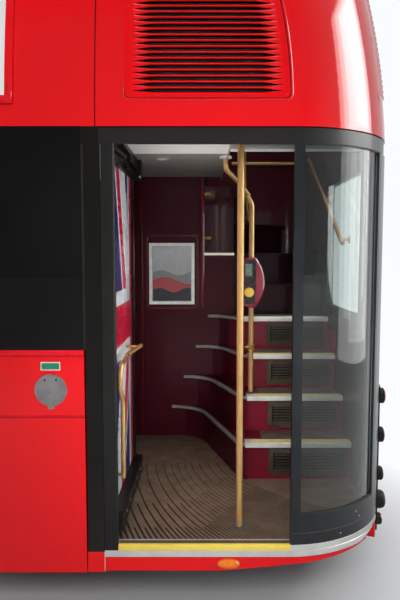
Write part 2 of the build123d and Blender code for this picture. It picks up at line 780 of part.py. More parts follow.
newel_x = 1647
newel_y = first_nosing_y + 345
step2_top = platform_top + 2 * rise
newel_bend_z = 1850
well_newel_x = 1585
well_newel_y = newel_y - 40
well_rail_z = section_top - 480
bracket_x = 1454
bracket_y = well_y0 + 250
with BuildPart() as newel_pole:
    add(tube([(newel_x, newel_y, step2_top), (newel_x, newel_y, newel_bend_z),
              (well_newel_x, well_newel_y, newel_bend_z + 110), (well_newel_x, well_newel_y, well_rail_z),
              (well_x0 - 37, well_newel_y, well_rail_z), (well_x0 - 37, well_newel_y, deck_top)], 60, pole_r))
    with Locations((newel_x, newel_y, step2_top + 4)):
        Cylinder(flange_r, 8)
    with Locations((well_x0 - 37, well_newel_y, deck_top + 4)):
        Cylinder(flange_r, 8)
save("newel_pole", newel_pole)

branch_z = newel_bend_z + 65
with BuildPart() as newel_branch:
    add(tube([(newel_x - 25, newel_y - 16, branch_z), (bracket_x + 76, bracket_y + 170, branch_z + 75),
              (bracket_x, bracket_y, branch_z + 115), (bracket_x, bracket_y, ceiling_low)], 50, pole_r - 1))
    with Locations((bracket_x, bracket_y, ceiling_low - 4)):
        Cylinder(flange_r, 8)
    add(newel_pole.part, mode=Mode.SUBTRACT)
save("newel_branch", newel_branch)

wall_rail_gap = 55
wall_rail_x = stair_x1 - wall_rail_gap
wall_rail_y = stair_y1 - wall_rail_gap
wall_rail_z = header_high + 190
wall_rail_turn_y = wall_rail_y - 270
wall_rail_end_y = first_nosing_y + 115
wall_rail_slope = 0.6


def wall_rail_height(y):
    """Height of the sloping part of the wall rail at y."""
    return wall_rail_z - wall_rail_slope * (wall_rail_turn_y - y)


with BuildPart() as wall_rail:
    add(tube([(screen_x1 + 100, wall_rail_y, wall_rail_z), (wall_rail_x, wall_rail_y, wall_rail_z),
              (wall_rail_x, wall_rail_turn_y, wall_rail_z),
              (wall_rail_x, wall_rail_end_y, wall_rail_height(wall_rail_end_y))], 120, rail_r))
    for y in (wall_rail_end_y + 40, wall_rail_end_y + 560):
        with Locations(Plane.YZ.offset(wall_rail_x) * Location((y, wall_rail_height(y), wall_rail_gap / 2))):
            Cylinder(8, wall_rail_gap)
        with Locations(Plane.YZ.offset(stair_x1) * Location((y, wall_rail_height(y), -3))):
            Cylinder(24, 6)
    for x in (screen_x1 + 140, wall_rail_x - 200):
        reach = wall_rail_gap - lean(wall_rail_z + 8)
        with Locations(Plane.XZ.offset(-wall_rail_y) * Location((x, wall_rail_z, -reach / 2))):
            Cylinder(8, reach)
save("wall_rail", wall_rail)

# Ticket reader on the newel pole
reader_z = 1162
reader_h = 336
reader_d = 90
reader_y = newel_y - pole_r
with BuildPart() as ticket_reader:
    with BuildSketch(Plane.XZ.offset(-reader_y)):
        with BuildLine():
            Polyline((newel_x + 14, reader_z), (newel_x - 62, reader_z + 14), (newel_x - 58, reader_z + reader_h - 8),
                     (newel_x + 18, reader_z + reader_h))
            ThreePointArc((newel_x + 18, reader_z + reader_h), (newel_x + 78, reader_z + reader_h * 0.52),
                          (newel_x + 14, reader_z))
        make_face()
    extrude(amount=reader_d)
    chamfer(ticket_reader.edges(), 8)
    with Locations((newel_x, reader_y - 2, reader_z + reader_h / 2)):
        Box(56, 34, reader_h * 0.6)
    with Locations((newel_x, newel_y, reader_z + reader_h / 2)):
        Cylinder(pole_r + 0.1, reader_h + 40, mode=Mode.SUBTRACT)
save("ticket_reader", ticket_reader)

# Empty poster frame on the poster wall
poster_x0 = 908
poster_z0 = 1130
poster_w = 349
poster_h = 473
with BuildPart() as poster_frame:
    with Locations((poster_x0 + poster_w / 2, poster_wall_y - 6, poster_z0 + poster_h / 2)):
        Box(poster_w, 12, poster_h)
    with Locations((poster_x0 + poster_w / 2, poster_wall_y - 12, poster_z0 + poster_h / 2)):
        Box(poster_w - 50, 14, poster_h - 50, mode=Mode.SUBTRACT)
save("poster_frame", poster_frame)

# Gliding door: arms on their shaft stubs, leaf frame, glass and handrail
stub_r = 12
pin_r = 9
pin_depth = 30
arm_t = 18
arm_low = platform_top + 14
arm_high = header_low + 8


def arm_plan():
    """Plan of an arm from its shaft to the pivot on the leaf."""
    with BuildSketch() as plan:
        with BuildLine():
            line = Line((shaft_x, shaft_y), (pivot_x, pivot_y))
        with Locations(line @ 0.5):
            SlotCenterToCenter(line.length, 2 * stub_r, rotation=line.tangent_angle_at(0.5))
    return plan.sketch


for name, z, stub_z0, stub_z1, pin_z0, pin_z1 in (
    ("arm_low", arm_low, platform_top + seat, arm_low + arm_t, arm_low, leaf_low + pin_depth),
    ("arm_high", arm_high, arm_high, ceiling_low - seat, leaf_high - pin_depth, arm_high + arm_t),
):
    with BuildPart() as arm:
        with BuildSketch(Plane.XY.offset(z)):
            add(arm_plan())
        extrude(amount=arm_t)
        with Locations((shaft_x, shaft_y, (stub_z0 + stub_z1) / 2)):
            Cylinder(stub_r, stub_z1 - stub_z0)
        with Locations((pivot_x, pivot_y, (pin_z0 + pin_z1) / 2)):
            Cylinder(pin_r, pin_z1 - pin_z0)
    save(name, arm)

# Track under the ceiling for the guide at the inner end of the leaf
track_w = 34
track_low = header_low
track_bend_y = pivot_y + 2 * stub_r + 6
track_end_y = leaf_y + leaf_w + 90
with BuildPart() as door_track:
    with Locations((shaft_x + 52, (shaft_y + 60 + track_bend_y) / 2, (arm_high + arm_t + 12 + ceiling_low) / 2)):
        Box(track_w, track_bend_y - shaft_y - 60, ceiling_low - arm_high - arm_t - 12)
    with Locations((shaft_x + 52, (track_bend_y + track_end_y) / 2, (track_low + ceiling_low) / 2)):
        Box(track_w, track_end_y - track_bend_y, ceiling_low - track_low)
    with Locations((shaft_x + 62, track_end_y - 30, (leaf_high - 36 + ceiling_low) / 2)):
        Box(track_w + 20, 60, ceiling_low - leaf_high + 36)
save("door_track", door_track)

leaf_plane = Plane(origin=(leaf_x, leaf_y, 0), x_dir=Vector(1, 0, 0).rotate(Axis.Z, leaf_deg), z_dir=(0, 0, 1))
stile = 58
kick_h = 100
kick_t = 40
top_h = 44


def leaf_box(x0, x1, n0, n1, z0, z1, mode=Mode.ADD):
    """Box in the leaf's own axes: along the leaf, inward through it, and up."""
    with Locations(leaf_plane * Location(((x0 + x1) / 2, -(n0 + n1) / 2, (z0 + z1) / 2))):
        Box(x1 - x0, n1 - n0, z1 - z0, mode=mode)


with BuildPart() as leaf_frame:
    leaf_box(0, leaf_w, 0, leaf_t, leaf_low, leaf_high)
    leaf_box(stile, leaf_w - stile, -5, leaf_t + 5, leaf_low + kick_h, leaf_high - top_h, Mode.SUBTRACT)
    leaf_box(stile - 12, leaf_w - stile + 12, 12, 20, leaf_low + kick_h - 12, leaf_high - top_h + 12, Mode.SUBTRACT)
    leaf_box(0, leaf_w, leaf_t, leaf_t + kick_t, leaf_low, leaf_low + kick_h)
    pivot_along = leaf_plane.to_local_coords(Vector(pivot_x, pivot_y, 0)).X
    leaf_box(pivot_along - 26, pivot_along + 26, 0, leaf_t + 20, leaf_high - top_h + 12, leaf_high)
    with Locations((pivot_x, pivot_y, leaf_low), (pivot_x, pivot_y, leaf_high)):
        Cylinder(pin_r + seat, 2 * pin_depth + 4, mode=Mode.SUBTRACT)
save("leaf_frame", leaf_frame)

with BuildPart() as leaf_glass:
    leaf_box(stile - 11, leaf_w - stile + 11, 13, 19, leaf_low + kick_h - 11, leaf_high - top_h + 11)
save("leaf_glass", leaf_glass)

grip_r = 12.5
grip_gap = 20


def leaf_point(along, inward, z):
    """Point in the leaf's own axes."""
    return leaf_plane.from_local_coords(Vector(along, -inward, z))


grip_n = leaf_t + grip_gap + grip_r
grip_points = [  # along the leaf, inward of its outer face, height
    (75, grip_n, 385),
    (75, grip_n, 782),
    (42, grip_n - 8, 847),
    (42, grip_n - 8, 912),
    (70, grip_n - 4, 968),
    (265, grip_n - 2, 984),
    (430, grip_n + 50, 1008),
]
with BuildPart() as leaf_rail:
    add(tube([leaf_point(*point) for point in grip_points], 24, grip_r))
    for x, n, z in ((75, grip_n, 400), (42, grip_n - 8, 880), (415, grip_n + 45, 1005)):
        with Locations(leaf_plane * Location((x, -(leaf_t + n) / 2, z), (90, 0, 0))):
            Cylinder(8, n - leaf_t - 2 * seat)
save("leaf_rail", leaf_rail)
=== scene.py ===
import math
import bpy
import numpy as np
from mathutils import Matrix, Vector


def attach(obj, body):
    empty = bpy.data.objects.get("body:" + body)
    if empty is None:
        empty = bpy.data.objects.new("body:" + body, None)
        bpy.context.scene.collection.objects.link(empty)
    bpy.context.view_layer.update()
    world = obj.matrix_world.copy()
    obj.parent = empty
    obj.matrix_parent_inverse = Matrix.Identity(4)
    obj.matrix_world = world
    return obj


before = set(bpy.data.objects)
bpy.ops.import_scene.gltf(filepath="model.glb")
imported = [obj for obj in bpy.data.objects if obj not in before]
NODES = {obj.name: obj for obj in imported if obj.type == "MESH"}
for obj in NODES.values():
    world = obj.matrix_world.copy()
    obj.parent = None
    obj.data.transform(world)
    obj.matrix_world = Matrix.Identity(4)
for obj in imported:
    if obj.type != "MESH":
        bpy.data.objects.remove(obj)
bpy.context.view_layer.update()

# Places of the section, in metres, in the row frame
NEAR_Y, OFF_Y = -1.260, 1.260
TAIL_X = 2.316
CORNER_X, CORNER_Y, CORNER_R = 1.738, -0.682, 0.578
HEADER_FOOT, HEADER_TOP, SECTION_TOP = 2.0365, 2.116, 3.040
LEAN_R, LEAN_SLOPE = 4.0, 0.05
PLATFORM, CEILING = 0.090, 2.106
RISE, GOING, FIRST_NOSING, STEP_END = 0.239, 0.243, -0.435, 2.258
WALL_Y = 0.487
DOORWAY_FRONT, DOORWAY_REAR = 0.8985, 1.7455
# Run along the skin to the end of the panels ahead of the entrance, and to the middle of the tail
BAY = (0.0, 0.741)
TAIL_RUN = CORNER_X + CORNER_R * math.pi / 2 - CORNER_Y
# Side louvre: its panel, the bow of the rear edge, and the slots with their tips
LOUVRE_FRONT, LOUVRE_REAR, LOUVRE_FOOT, LOUVRE_TOP = 0.947, 1.724, 2.245, 2.905
LOUVRE_BOW, FIRST_SLOT, SLOT_PITCH, SLOT_TIP, TIP_INSET = 0.21, 2.280, 0.0278, 0.982, 0.035
FLAP_X, FLAP_Z = 0.58, 0.867

REARWARD, INWARD, OUTWARD, UP, DOWN = (1, 0, 0), (0, 1, 0), (0, -1, 0), (0, 0, 1), (0, 0, -1)
AXIS_ORDER = {"x": [2, 0, 1], "y": [0, 2, 1], "z": [0, 1, 2]}


# Surfaces

def lean(z):
    """Inward lean of the upper walls: a circle of 4 m radius, with a slope of 1 in 20 at the header."""
    a = math.atan(LEAN_SLOPE)
    up = LEAN_R * math.sin(a) + np.maximum(np.asarray(z, float) - HEADER_TOP, 0.0)
    return LEAN_R * math.cos(a) - np.sqrt(LEAN_R ** 2 - up ** 2)


def on_body(s, z, out):
    """Point on the body's outside: run s goes straight along the nearside, by a quarter circle round the
    corner and straight along the tail; z is the height, and out the distance outside the leaning skin."""
    s, z, out = np.broadcast_arrays(np.asarray(s, float), np.asarray(z, float), np.asarray(out, float))
    turn = np.clip((s - CORNER_X) / CORNER_R, 0, math.pi / 2)
    past = np.maximum(s - CORNER_X - CORNER_R * math.pi / 2, 0)
    radius = CORNER_R + out - lean(z)
    x = np.minimum(s, CORNER_X) + radius * np.sin(turn)
    y = CORNER_Y - radius * np.cos(turn) + past
    return np.stack([x, y, z], -1)


def rounded_path(corners, radii, steps=9):
    """Straight runs joined by arcs. An arc of radius r meets its two runs r / tan(half) from their corner,
    where half is half of the angle between them."""
    c = np.asarray(corners, float)
    out = [c[:1]]
    for p, q, s, r in zip(c[:-2], c[1:-1], c[2:], radii):
        a = (p - q) / np.linalg.norm(p - q)
        b = (s - q) / np.linalg.norm(s - q)
        half = math.acos(float(np.clip(a @ b, -1, 1))) / 2
        centre = q + (a + b) / np.linalg.norm(a + b) * r / math.sin(half)
        first = q + a * r / math.tan(half) - centre
        last = q + b * r / math.tan(half) - centre
        turn = math.pi - 2 * half
        w = np.linspace(0, 1, steps)[:, None]
        out.append(centre + (np.sin((1 - w) * turn) * first + np.sin(w * turn) * last) / math.sin(turn))
    out.append(c[-1:])
    return np.vstack(out)


def loop_path(corners, r, steps=7):
    """Closed outline with rounded corners: a rounded path that starts midway along the last side."""
    c = np.asarray(corners, float)
    mid = (c[-1] + c[0]) / 2
    return rounded_path(np.vstack([mid, c, mid]), [r] * len(c), steps)[:-1]


def rectangle(x0, x1, y0, y1):
    """The four corners of a rectangle, in order."""
    return [(x0, y0), (x1, y0), (x1, y1), (x0, y1)]


def grown(limits, by):
    """A rectangle's limits moved out by a distance on every side, or in where it is negative."""
    x0, x1, y0, y1 = limits
    return x0 - by, x1 + by, y0 - by, y1 + by


def directions(path, closed=False):
    """Unit direction of a path at each of its points."""
    step = np.roll(path, -1, 0) - np.roll(path, 1, 0) if closed else np.gradient(path, axis=0)
    return step / np.linalg.norm(step, axis=1)[:, None]


def trim_along(path, z, profile):
    """Profile carried along a path in plan: its first number goes out to the path's right, its second up."""
    path, profile = np.asarray(path, float), np.asarray(profile, float)
    step = directions(path)
    side = np.stack([step[:, 1], -step[:, 0]], 1)
    xy = path[:, None, :] + side[:, None, :] * profile[None, :, :1]
    up = np.broadcast_to(z + profile[:, 1], xy.shape[:2])
    return np.concatenate([xy, up[..., None]], -1)


def trim_on_body(s, z, profile):
    """Profile carried along the body's run: its first number goes out from the skin, its second up."""
    profile = np.asarray(profile, float)
    s = np.asarray(s, float)[:, None]
    z = np.broadcast_to(np.asarray(z, float), s[:, 0].shape)[:, None]
    return on_body(s, z + profile[None, :, 1], profile[None, :, 0])


def half_round(height, n=6):
    """Heights of a bead from one side to the other: a half sine."""
    return height * np.sin(math.pi * np.linspace(0, 1, n))


def bead_on_body(path, w, swell, foot=-0.002, closed=True):
    """Bead of width w along a line of run and height on the skin: swell holds its heights above the skin
    from one side to the other, and its two lower edges lie at the foot's height."""
    path = np.asarray(path, float)
    step = directions(path, closed)
    across = np.stack([-step[:, 1], step[:, 0]], 1)
    t = np.linspace(0, 1, len(swell))
    at = path[:, None, :] + across[:, None, :] * (w * (t - 0.5))[None, :, None]
    top = on_body(at[..., 0], at[..., 1], np.broadcast_to(swell, at.shape[:2]))
    low = on_body(at[:, [-1, 0], 0], at[:, [-1, 0], 1], foot)
    return np.concatenate([top, low], 1)


def plate_on_body(s0, s1, z0, z1, out0, out1, ns, nz):
    """Plate that follows the skin between two runs and two heights, from out0 to out1."""
    s = np.linspace(s0, s1, ns)[:, None]
    z = np.linspace(z0, z1, nz)
    up_and_down = np.concatenate([z, z[::-1]])[None, :]
    out = np.concatenate([np.full(nz, out1), np.full(nz, out0)])[None, :]
    return on_body(s, up_and_down, out)


def at_depths(outlines, depths, axis):
    """Flat outlines in the two directions across an axis, each set at its own depth along it."""
    flat = np.stack([np.asarray(o, float) for o in outlines])
    depth = np.broadcast_to(np.array(depths, float)[:, None, None], flat.shape[:2] + (1,))
    return np.concatenate([flat, depth], -1)[..., AXIS_ORDER[axis]]


def block(x0, x1, y0, y1, z0, z1):
    """Box as a four-cornered outline carried from x0 to x1."""
    return at_depths([rectangle(y0, y1, z0, z1)] * 2, [x0, x1], "x")


def frame_ring(outer, inner, axis, at0, at1, r0, r1):
    """Flat ring between two rounded rectangles, given by their two limits in each direction across the axis,
    from at0 to at1 along it."""
    o, i = loop_path(rectangle(*outer), r0), loop_path(rectangle(*inner), r1)
    return np.swapaxes(at_depths([o, o, i, i], [at0, at1, at1, at0], axis), 0, 1)


def turned(profile, centre, axis, n, squash=1.0):
    """Solid of revolution: each row of the profile is a distance along the axis and a radius; squash
    flattens the second direction across the axis."""
    profile = np.asarray(profile, float)
    axis = np.asarray(axis, float) / np.linalg.norm(axis)
    ref = np.array([0, 0, 1.0]) if abs(axis[2]) < 0.9 else np.array([1.0, 0, 0])
    a = np.cross(ref, axis)
    a /= np.linalg.norm(a)
    b = np.cross(axis, a)
    turn = np.linspace(0, 2 * math.pi, n, endpoint=False)
    ring = np.cos(turn)[:, None] * a + squash * np.sin(turn)[:, None] * b
    return np.asarray(centre, float) + profile[:, :1, None] * axis + profile[:, 1:, None] * ring[None]


def tube(path, r, ref, n=14):
    """Round bar: a circle of radius r carried along a path that never runs along ref, square to it."""
    path = np.asarray(path, float)
    step = directions(path)
    a = np.cross(step, np.asarray(ref, float))
    a /= np.linalg.norm(a, axis=1)[:, None]
    b = np.cross(step, a)
    turn = np.linspace(0, 2 * math.pi, n, endpoint=False)
    ring = np.cos(turn)[None, :, None] * a[:, None] + np.sin(turn)[None, :, None] * b[:, None]
    return path[:, None, :] + r * ring


def piece(name, parts, mat, body="rear_section", closed=False, bevel=0.0, angle=38.0):
    """One mesh of several swept solids. Each part is a grid of points: rows along the path, and each row a
    closed outline. The path's ends are capped, or joined if it is closed. Faces turn outwards by the
    volume's sign."""
    verts, faces, start = [], [], 0
    for p in parts:
        n, k = p.shape[:2]
        flat = p.reshape(-1, 3)
        row = np.arange(n if closed else n - 1)[:, None]
        col = np.arange(k)[None, :]
        nxt = (row + 1) % n
        quads = [row * k + col, row * k + (col + 1) % k, nxt * k + (col + 1) % k, nxt * k + col]
        quads = np.stack(quads, -1).reshape(-1, 4)
        caps = [] if closed else [np.arange(k)[::-1], (n - 1) * k + np.arange(k)]
        fan = [np.stack([np.full(k - 2, c[0]), c[1:-1], c[2:]], 1) for c in caps]
        tri = np.concatenate([quads[:, [0, 1, 2]], quads[:, [0, 2, 3]], *fan])
        mid = flat.mean(0)
        a, b, c = (flat[tri[:, j]] - mid for j in range(3))
        if np.einsum("ij,ij->i", a, np.cross(b, c)).sum() < 0:
            quads, caps = quads[:, ::-1], [c[::-1] for c in caps]
        verts.append(flat)
        faces += (quads + start).tolist() + [(c + start).tolist() for c in caps]
        start += len(flat)
    mesh = bpy.data.meshes.new(name)
    mesh.from_pydata(np.concatenate(verts).tolist(), [], faces)
    mesh.shade_smooth()
    mesh.set_sharp_from_angle(angle=math.radians(angle))
    mesh.materials.append(mat)
    obj = bpy.data.objects.new(name, mesh)
    bpy.context.scene.collection.objects.link(obj)
    if bevel:
        edge = obj.modifiers.new("edge_round", "BEVEL")
        edge.width, edge.segments, edge.limit_method = bevel, 2, "ANGLE"
    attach(obj, body)
    return obj


def screw(s, z, r, out=0.0):
    """Low domed screw head square to the skin."""
    turn = min(max((s - CORNER_X) / CORNER_R, 0), math.pi / 2)
    shape = [(-0.002, r), (0.0008, r), (0.0020, r * 0.72), (0.0026, r * 0.3)]
    return turned(shape, on_body(s, z, out), (math.sin(turn), -math.cos(turn), 0), n=10)


# Shader nodes

class Field:
    """A number, colour or place that changes over the surface: an output in a shader tree. Plain arithmetic
    on it adds math nodes."""

    def __init__(self, tree, socket):
        self.tree, self.socket = tree, socket

    def apply(self, kind, *others):
        """Math node on this field and others; its result."""
        return calc(self.tree, kind, self, *others)

    def __add__(self, other):
        return self.apply("ADD", other)

    def __sub__(self, other):
        return self.apply("SUBTRACT", other)

    def __rsub__(self, other):
        return calc(self.tree, "SUBTRACT", other, self)

    def __mul__(self, other):
        return self.apply("MULTIPLY", other)

    def __truediv__(self, other):
        return self.apply("DIVIDE", other)

    def __pow__(self, other):
        return self.apply("POWER", other)

    def __gt__(self, other):
        return self.apply("GREATER_THAN", other)

    def __lt__(self, other):
        return self.apply("LESS_THAN", other)

    def __abs__(self):
        return self.apply("ABSOLUTE")


def put(socket, value):
    """Links a field to a socket, or sets the socket's own value; a colour's alpha is 1."""
    if isinstance(value, Field):
        value.tree.links.new(value.socket, socket)
    else:
        socket.default_value = (*value, 1) if socket.type == "RGBA" else value


def put_all(sockets, **values):
    """Puts values on named sockets; an underscore in a name stands for a space."""
    for label, value in values.items():
        put(sockets[label.replace("_", " ")], value)


def fields(tree, sockets):
    """Output sockets as fields, by name."""
    return {s.name: Field(tree, s) for s in sockets}


def calc(tree, kind, *values):
    """Math node; its result."""
    node = tree.nodes.new("ShaderNodeMath")
    node.operation = kind
    for socket, value in zip(node.inputs, values):
        put(socket, value)
    return Field(tree, node.outputs[0])


def larger(a, b):
    """The larger of a field and another value."""
    return a.apply("MAXIMUM", b)


def smaller(a, b):
    """The smaller of a field and another value."""
    return a.apply("MINIMUM", b)


def between(value, low, high):
    """1 where a field lies between two limits, and 0 elsewhere."""
    return (value > low) * (value < high)


def spread(value, a0, a1, b0, b1):
    """Map Range node; a value between a0 and a1 becomes one between b0 and b1."""
    node = value.tree.nodes.new("ShaderNodeMapRange")
    for socket, v in zip(node.inputs, (value, a0, a1, b0, b1)):
        put(socket, v)
    return Field(value.tree, node.outputs[0])


def blend(share, a, b, kind="MIX"):
    """Colour mix: a where the share is 0, b where it is 1, or their product for the kind MULTIPLY."""
    tree = next(v.tree for v in (share, a, b) if isinstance(v, Field))
    node = tree.nodes.new("ShaderNodeMix")
    node.data_type, node.blend_type = "RGBA", kind
    for number, value in ((0, share), (6, a), (7, b)):
        put(node.inputs[number], value)
    return Field(tree, node.outputs[2])


def noise(position, scale, detail, rough=0.55):
    """Noise texture's value."""
    node = position.tree.nodes.new("ShaderNodeTexNoise")
    put_all(node.inputs, Vector=position, Scale=scale, Detail=detail, Roughness=rough)
    return Field(position.tree, node.outputs["Fac"])


def stretched(position, factors):
    """A position multiplied by three factors."""
    node = position.tree.nodes.new("ShaderNodeVectorMath")
    node.operation = "MULTIPLY"
    put(node.inputs[0], position)
    put(node.inputs[1], factors)
    return Field(position.tree, node.outputs[0])


def axes(position):
    """The three numbers of a position."""
    node = position.tree.nodes.new("ShaderNodeSeparateXYZ")
    put(node.inputs[0], position)
    return [Field(position.tree, s) for s in node.outputs]


# Effects that several finishes share

def node_group(name, ins, outs):
    """Empty shader node group: the group, its inputs as fields and its output sockets. An input is given by
    its kind, or by the number or the three numbers that it has unless a finish sets it."""
    tree = bpy.data.node_groups.new(name, "ShaderNodeTree")
    for label, value in ins.items():
        kind = value if isinstance(value, str) else "Vector" if isinstance(value, tuple) else "Float"
        sock = tree.interface.new_socket(label, in_out="INPUT", socket_type="NodeSocket" + kind)
        if value is not kind:
            sock.default_value = value
    for label, kind in outs.items():
        tree.interface.new_socket(label, in_out="OUTPUT", socket_type="NodeSocket" + kind)
    inputs = fields(tree, tree.nodes.new("NodeGroupInput").outputs)
    return tree, inputs, tree.nodes.new("NodeGroupOutput").inputs


def mottle_group():
    """Two colours in soft patches."""
    ins = {"Position": "Vector", "Scale": 5.0, "Colour A": "Color", "Colour B": "Color", "Low": 0.35,
           "High": 0.65}
    tree, i, o = node_group("mottled_colour", ins, {"Colour": "Color", "Mottle": "Float"})
    patch = spread(noise(i["Position"], i["Scale"], 5.0), i["Low"], i["High"], 0.0, 1.0)
    put_all(o, Colour=blend(patch, i["Colour A"], i["Colour B"]), Mottle=patch)
    return tree


def fine_group():
    """Fine grain as a height."""
    ins = {"Position": "Vector", "Scale": 300.0, "Stretch": (1, 1, 1)}
    tree, i, o = node_group("fine_texture", ins, {"Height": "Float"})
    put(o["Height"], noise(stretched(i["Position"], i["Stretch"]), i["Scale"], 2.0))
    return tree


def dust_group():
    """Patchy dust that thins out with height."""
    ins = {"Position": "Vector", "Low": 0.0, "High": 0.8, "Patch": 7.0, "Amount": 0.3}
    tree, i, o = node_group("road_dust", ins, {"Dust": "Float"})
    near = spread(axes(i["Position"])[2], i["Low"], i["High"], 1.0, 0.0)
    patch = spread(noise(i["Position"], i["Patch"], 5.0, 0.65), 0.35, 0.75, 0.25, 1.0)
    put(o["Dust"], near * patch * i["Amount"])
    return tree


def scuff_group():
    """Scattered scuff marks."""
    ins = {"Position": "Vector", "Scale": 30.0, "Stretch": (1, 1, 8), "Amount": 0.5}
    tree, i, o = node_group("scuff_marks", ins, {"Scuff": "Float"})
    mark = noise(stretched(i["Position"], i["Stretch"]), i["Scale"], 4.0, 0.6)
    put(o["Scuff"], spread(mark, 0.56, 0.72, 0.0, 1.0) * i["Amount"])
    return tree


def lines_group():
    """Parallel lines a pitch apart: their width and the softness of their edges are shares of the pitch."""
    ins = {"Along": 0.0, "Pitch": 0.01, "Width": 0.3, "Edge": 0.08}
    tree, i, o = node_group("line_pattern", ins, {"Line": "Float", "Height": "Float"})
    off = abs((i["Along"] / i["Pitch"]).apply("FRACT") - 0.5)
    half = i["Width"] * 0.5
    put(o["Line"], spread(off, half, half + i["Edge"], 1.0, 0.0))
    put(o["Height"], spread(off, half * 0.6, half + i["Edge"], 0.0, 1.0))
    return tree


GROUPS = {"mottle": mottle_group(), "fine": fine_group(), "dust": dust_group(), "scuff": scuff_group(),
          "lines": lines_group()}


def use(which, first, **values):
    """Places a shared group with its own values. Its first input is a field: a position or a distance."""
    node = first.tree.nodes.new("ShaderNodeGroup")
    node.node_tree = GROUPS[which]
    put(node.inputs[0], first)
    put_all(node.inputs, **values)
    return fields(first.tree, node.outputs)


# Kinds of finish

DUST_COLOUR = (0.30, 0.27, 0.24)


def bare_finish(name):
    """New material, its shader's inputs and the object coordinates."""
    mat = bpy.data.materials.new(name)
    mat.use_nodes = True
    tree = mat.node_tree
    coord = tree.nodes.new("ShaderNodeTexCoord").outputs["Object"]
    return mat, tree.nodes["Principled BSDF"].inputs, Field(tree, coord)


def bump(shader, height, strength, distance):
    """Bump node from a height to the shader's normal."""
    node = height.tree.nodes.new("ShaderNodeBump")
    put_all(node.inputs, Strength=strength, Distance=distance, Height=height)
    put(shader["Normal"], Field(height.tree, node.outputs[0]))


def finish(name, colour, other, rough, metal=0.0, coat=0.0, mottle=5.0, grain=350.0, stretch=(1, 1, 1),
           depth=0.0002, dust=0.0, dust_high=0.7, scuff=0.0, scuff_stretch=(1, 1, 8), specular=0.5):
    """A solid finish: two near tones in soft patches, fine grain in the normal, dust low down and scuffs
    that dull it."""
    mat, shader, coord = bare_finish(name)
    tone = use("mottle", coord, Scale=mottle, Colour_A=colour, Colour_B=other)
    shade, dull = tone["Colour"], spread(tone["Mottle"], 0.0, 1.0, *rough)
    if dust:
        film = use("dust", coord, Low=-0.05, High=dust_high, Amount=dust)["Dust"]
        shade = blend(film, shade, DUST_COLOUR)
        dull = dull + film * 0.5
    if scuff:
        mark = use("scuff", coord, Stretch=scuff_stretch, Amount=scuff)["Scuff"]
        shade = blend(mark * 0.35, shade, [min(1, c * 2.2 + 0.02) for c in other])
        dull = dull + mark * 0.2
    put_all(shader, Base_Color=shade, Roughness=dull, Metallic=metal, Coat_Weight=coat, Coat_Roughness=0.08,
            Specular_IOR_Level=specular)
    bump(shader, use("fine", coord, Scale=grain, Stretch=stretch)["Height"], 0.35, depth)
    return mat


def window_pane(name, tint, ior):
    """Clear or tinted glass, with faint wipe marks in its roughness."""
    mat, shader, coord = bare_finish(name)
    haze = use("scuff", coord, Scale=6.0, Stretch=(1, 1, 0.35), Amount=1.0)["Scuff"]
    tone = use("mottle", coord, Scale=2.5, Colour_A=tint, Colour_B=[c * 0.93 for c in tint])["Colour"]
    put_all(shader, Base_Color=tone, Roughness=spread(haze, 0.0, 1.0, 0.0, 0.02), Transmission_Weight=1.0,
            IOR=ior)
    return mat


def lens(name, colour, dim):
    """Ribbed lamp lens: glossy tinted plastic with fine level ribs in its bump."""
    mat, shader, coord = bare_finish(name)
    ribs = use("lines", axes(coord)[2], Pitch=0.006, Width=0.35)["Height"]
    tone = use("mottle", coord, Scale=60.0, Colour_A=colour, Colour_B=dim)
    put_all(shader, Base_Color=tone["Colour"], Roughness=spread(tone["Mottle"], 0, 1, 0.10, 0.18),
            Coat_Weight=0.7)
    bump(shader, ribs, 0.35, 0.0012)
    return mat


def ribbed_floor():
    """Brown floor vinyl with dark grooves that leave the doorway's edge 31 mm apart and swing forward as
    they go in. A groove that starts at x0 keeps exp(-1.75 x) - (y - y^3 / 4.69) / 0.922 = exp(-1.75 x0);
    every second one is short, and half of the rest stop midway. Past the last start that the formula
    reaches, starts go on evenly."""
    mat, shader, coord = bare_finish("ribbed_floor_vinyl")
    ax = axes(coord)
    x, y = ax[0] - 1.3, ax[1] - NEAR_Y
    curl, last = -1.75, 0.455
    level = (x * curl).apply("EXPONENT") - (y - y ** 3.0 * 0.2133) * 1.085
    start = larger(level, last).apply("LOGARITHM", math.e) / curl + larger(last - level, 0.0) * 1.254
    short_end = larger(x - 0.02, 0.0) * 1.6 + 0.185
    middle_end = larger(x + 0.08, 0.0) * 1.6 + 0.480
    far_end, pitch, width, soft = 1.13, 0.062, 0.0092, 0.0022
    cut = None
    groove_rows = (0.0, pitch, short_end), (0.0, 2 * pitch, middle_end), (pitch, 2 * pitch, far_end)
    for shift, gap, end in groove_rows:
        rows = use("lines", start + shift, Pitch=gap, Width=width / gap, Edge=soft / gap)["Line"] * (y < end)
        cut = rows if cut is None else larger(cut, rows)
    cut = cut * ((y > 0.057) * (start < 1.22))
    tone = use("mottle", coord, Scale=9.0, Colour_A=(0.255, 0.165, 0.108), Colour_B=(0.190, 0.120, 0.076))
    wear = use("scuff", coord, Scale=8.0, Stretch=(1, 1, 1), Amount=0.3)["Scuff"]
    fleck = use("fine", coord, Scale=330.0)["Height"]
    shade = blend(wear, tone["Colour"], (0.30, 0.235, 0.20))
    shade = blend(spread(fleck, 0.35, 0.65, 0.0, 0.35), shade, (0.085, 0.055, 0.042))
    # Painted shade: the vinyl darkens towards the back of the platform, away from the doorway
    shade = blend(spread(y, 0.55, 1.75, 0.0, 0.75), shade, (0.045, 0.026, 0.019))
    put_all(shader, Base_Color=blend(cut, shade, (0.010, 0.006, 0.005)),
            Roughness=spread(tone["Mottle"], 0, 1, 0.50, 0.70))
    bump(shader, (1.0 - cut) + fleck * 0.12, 0.7, 0.003)
    return mat


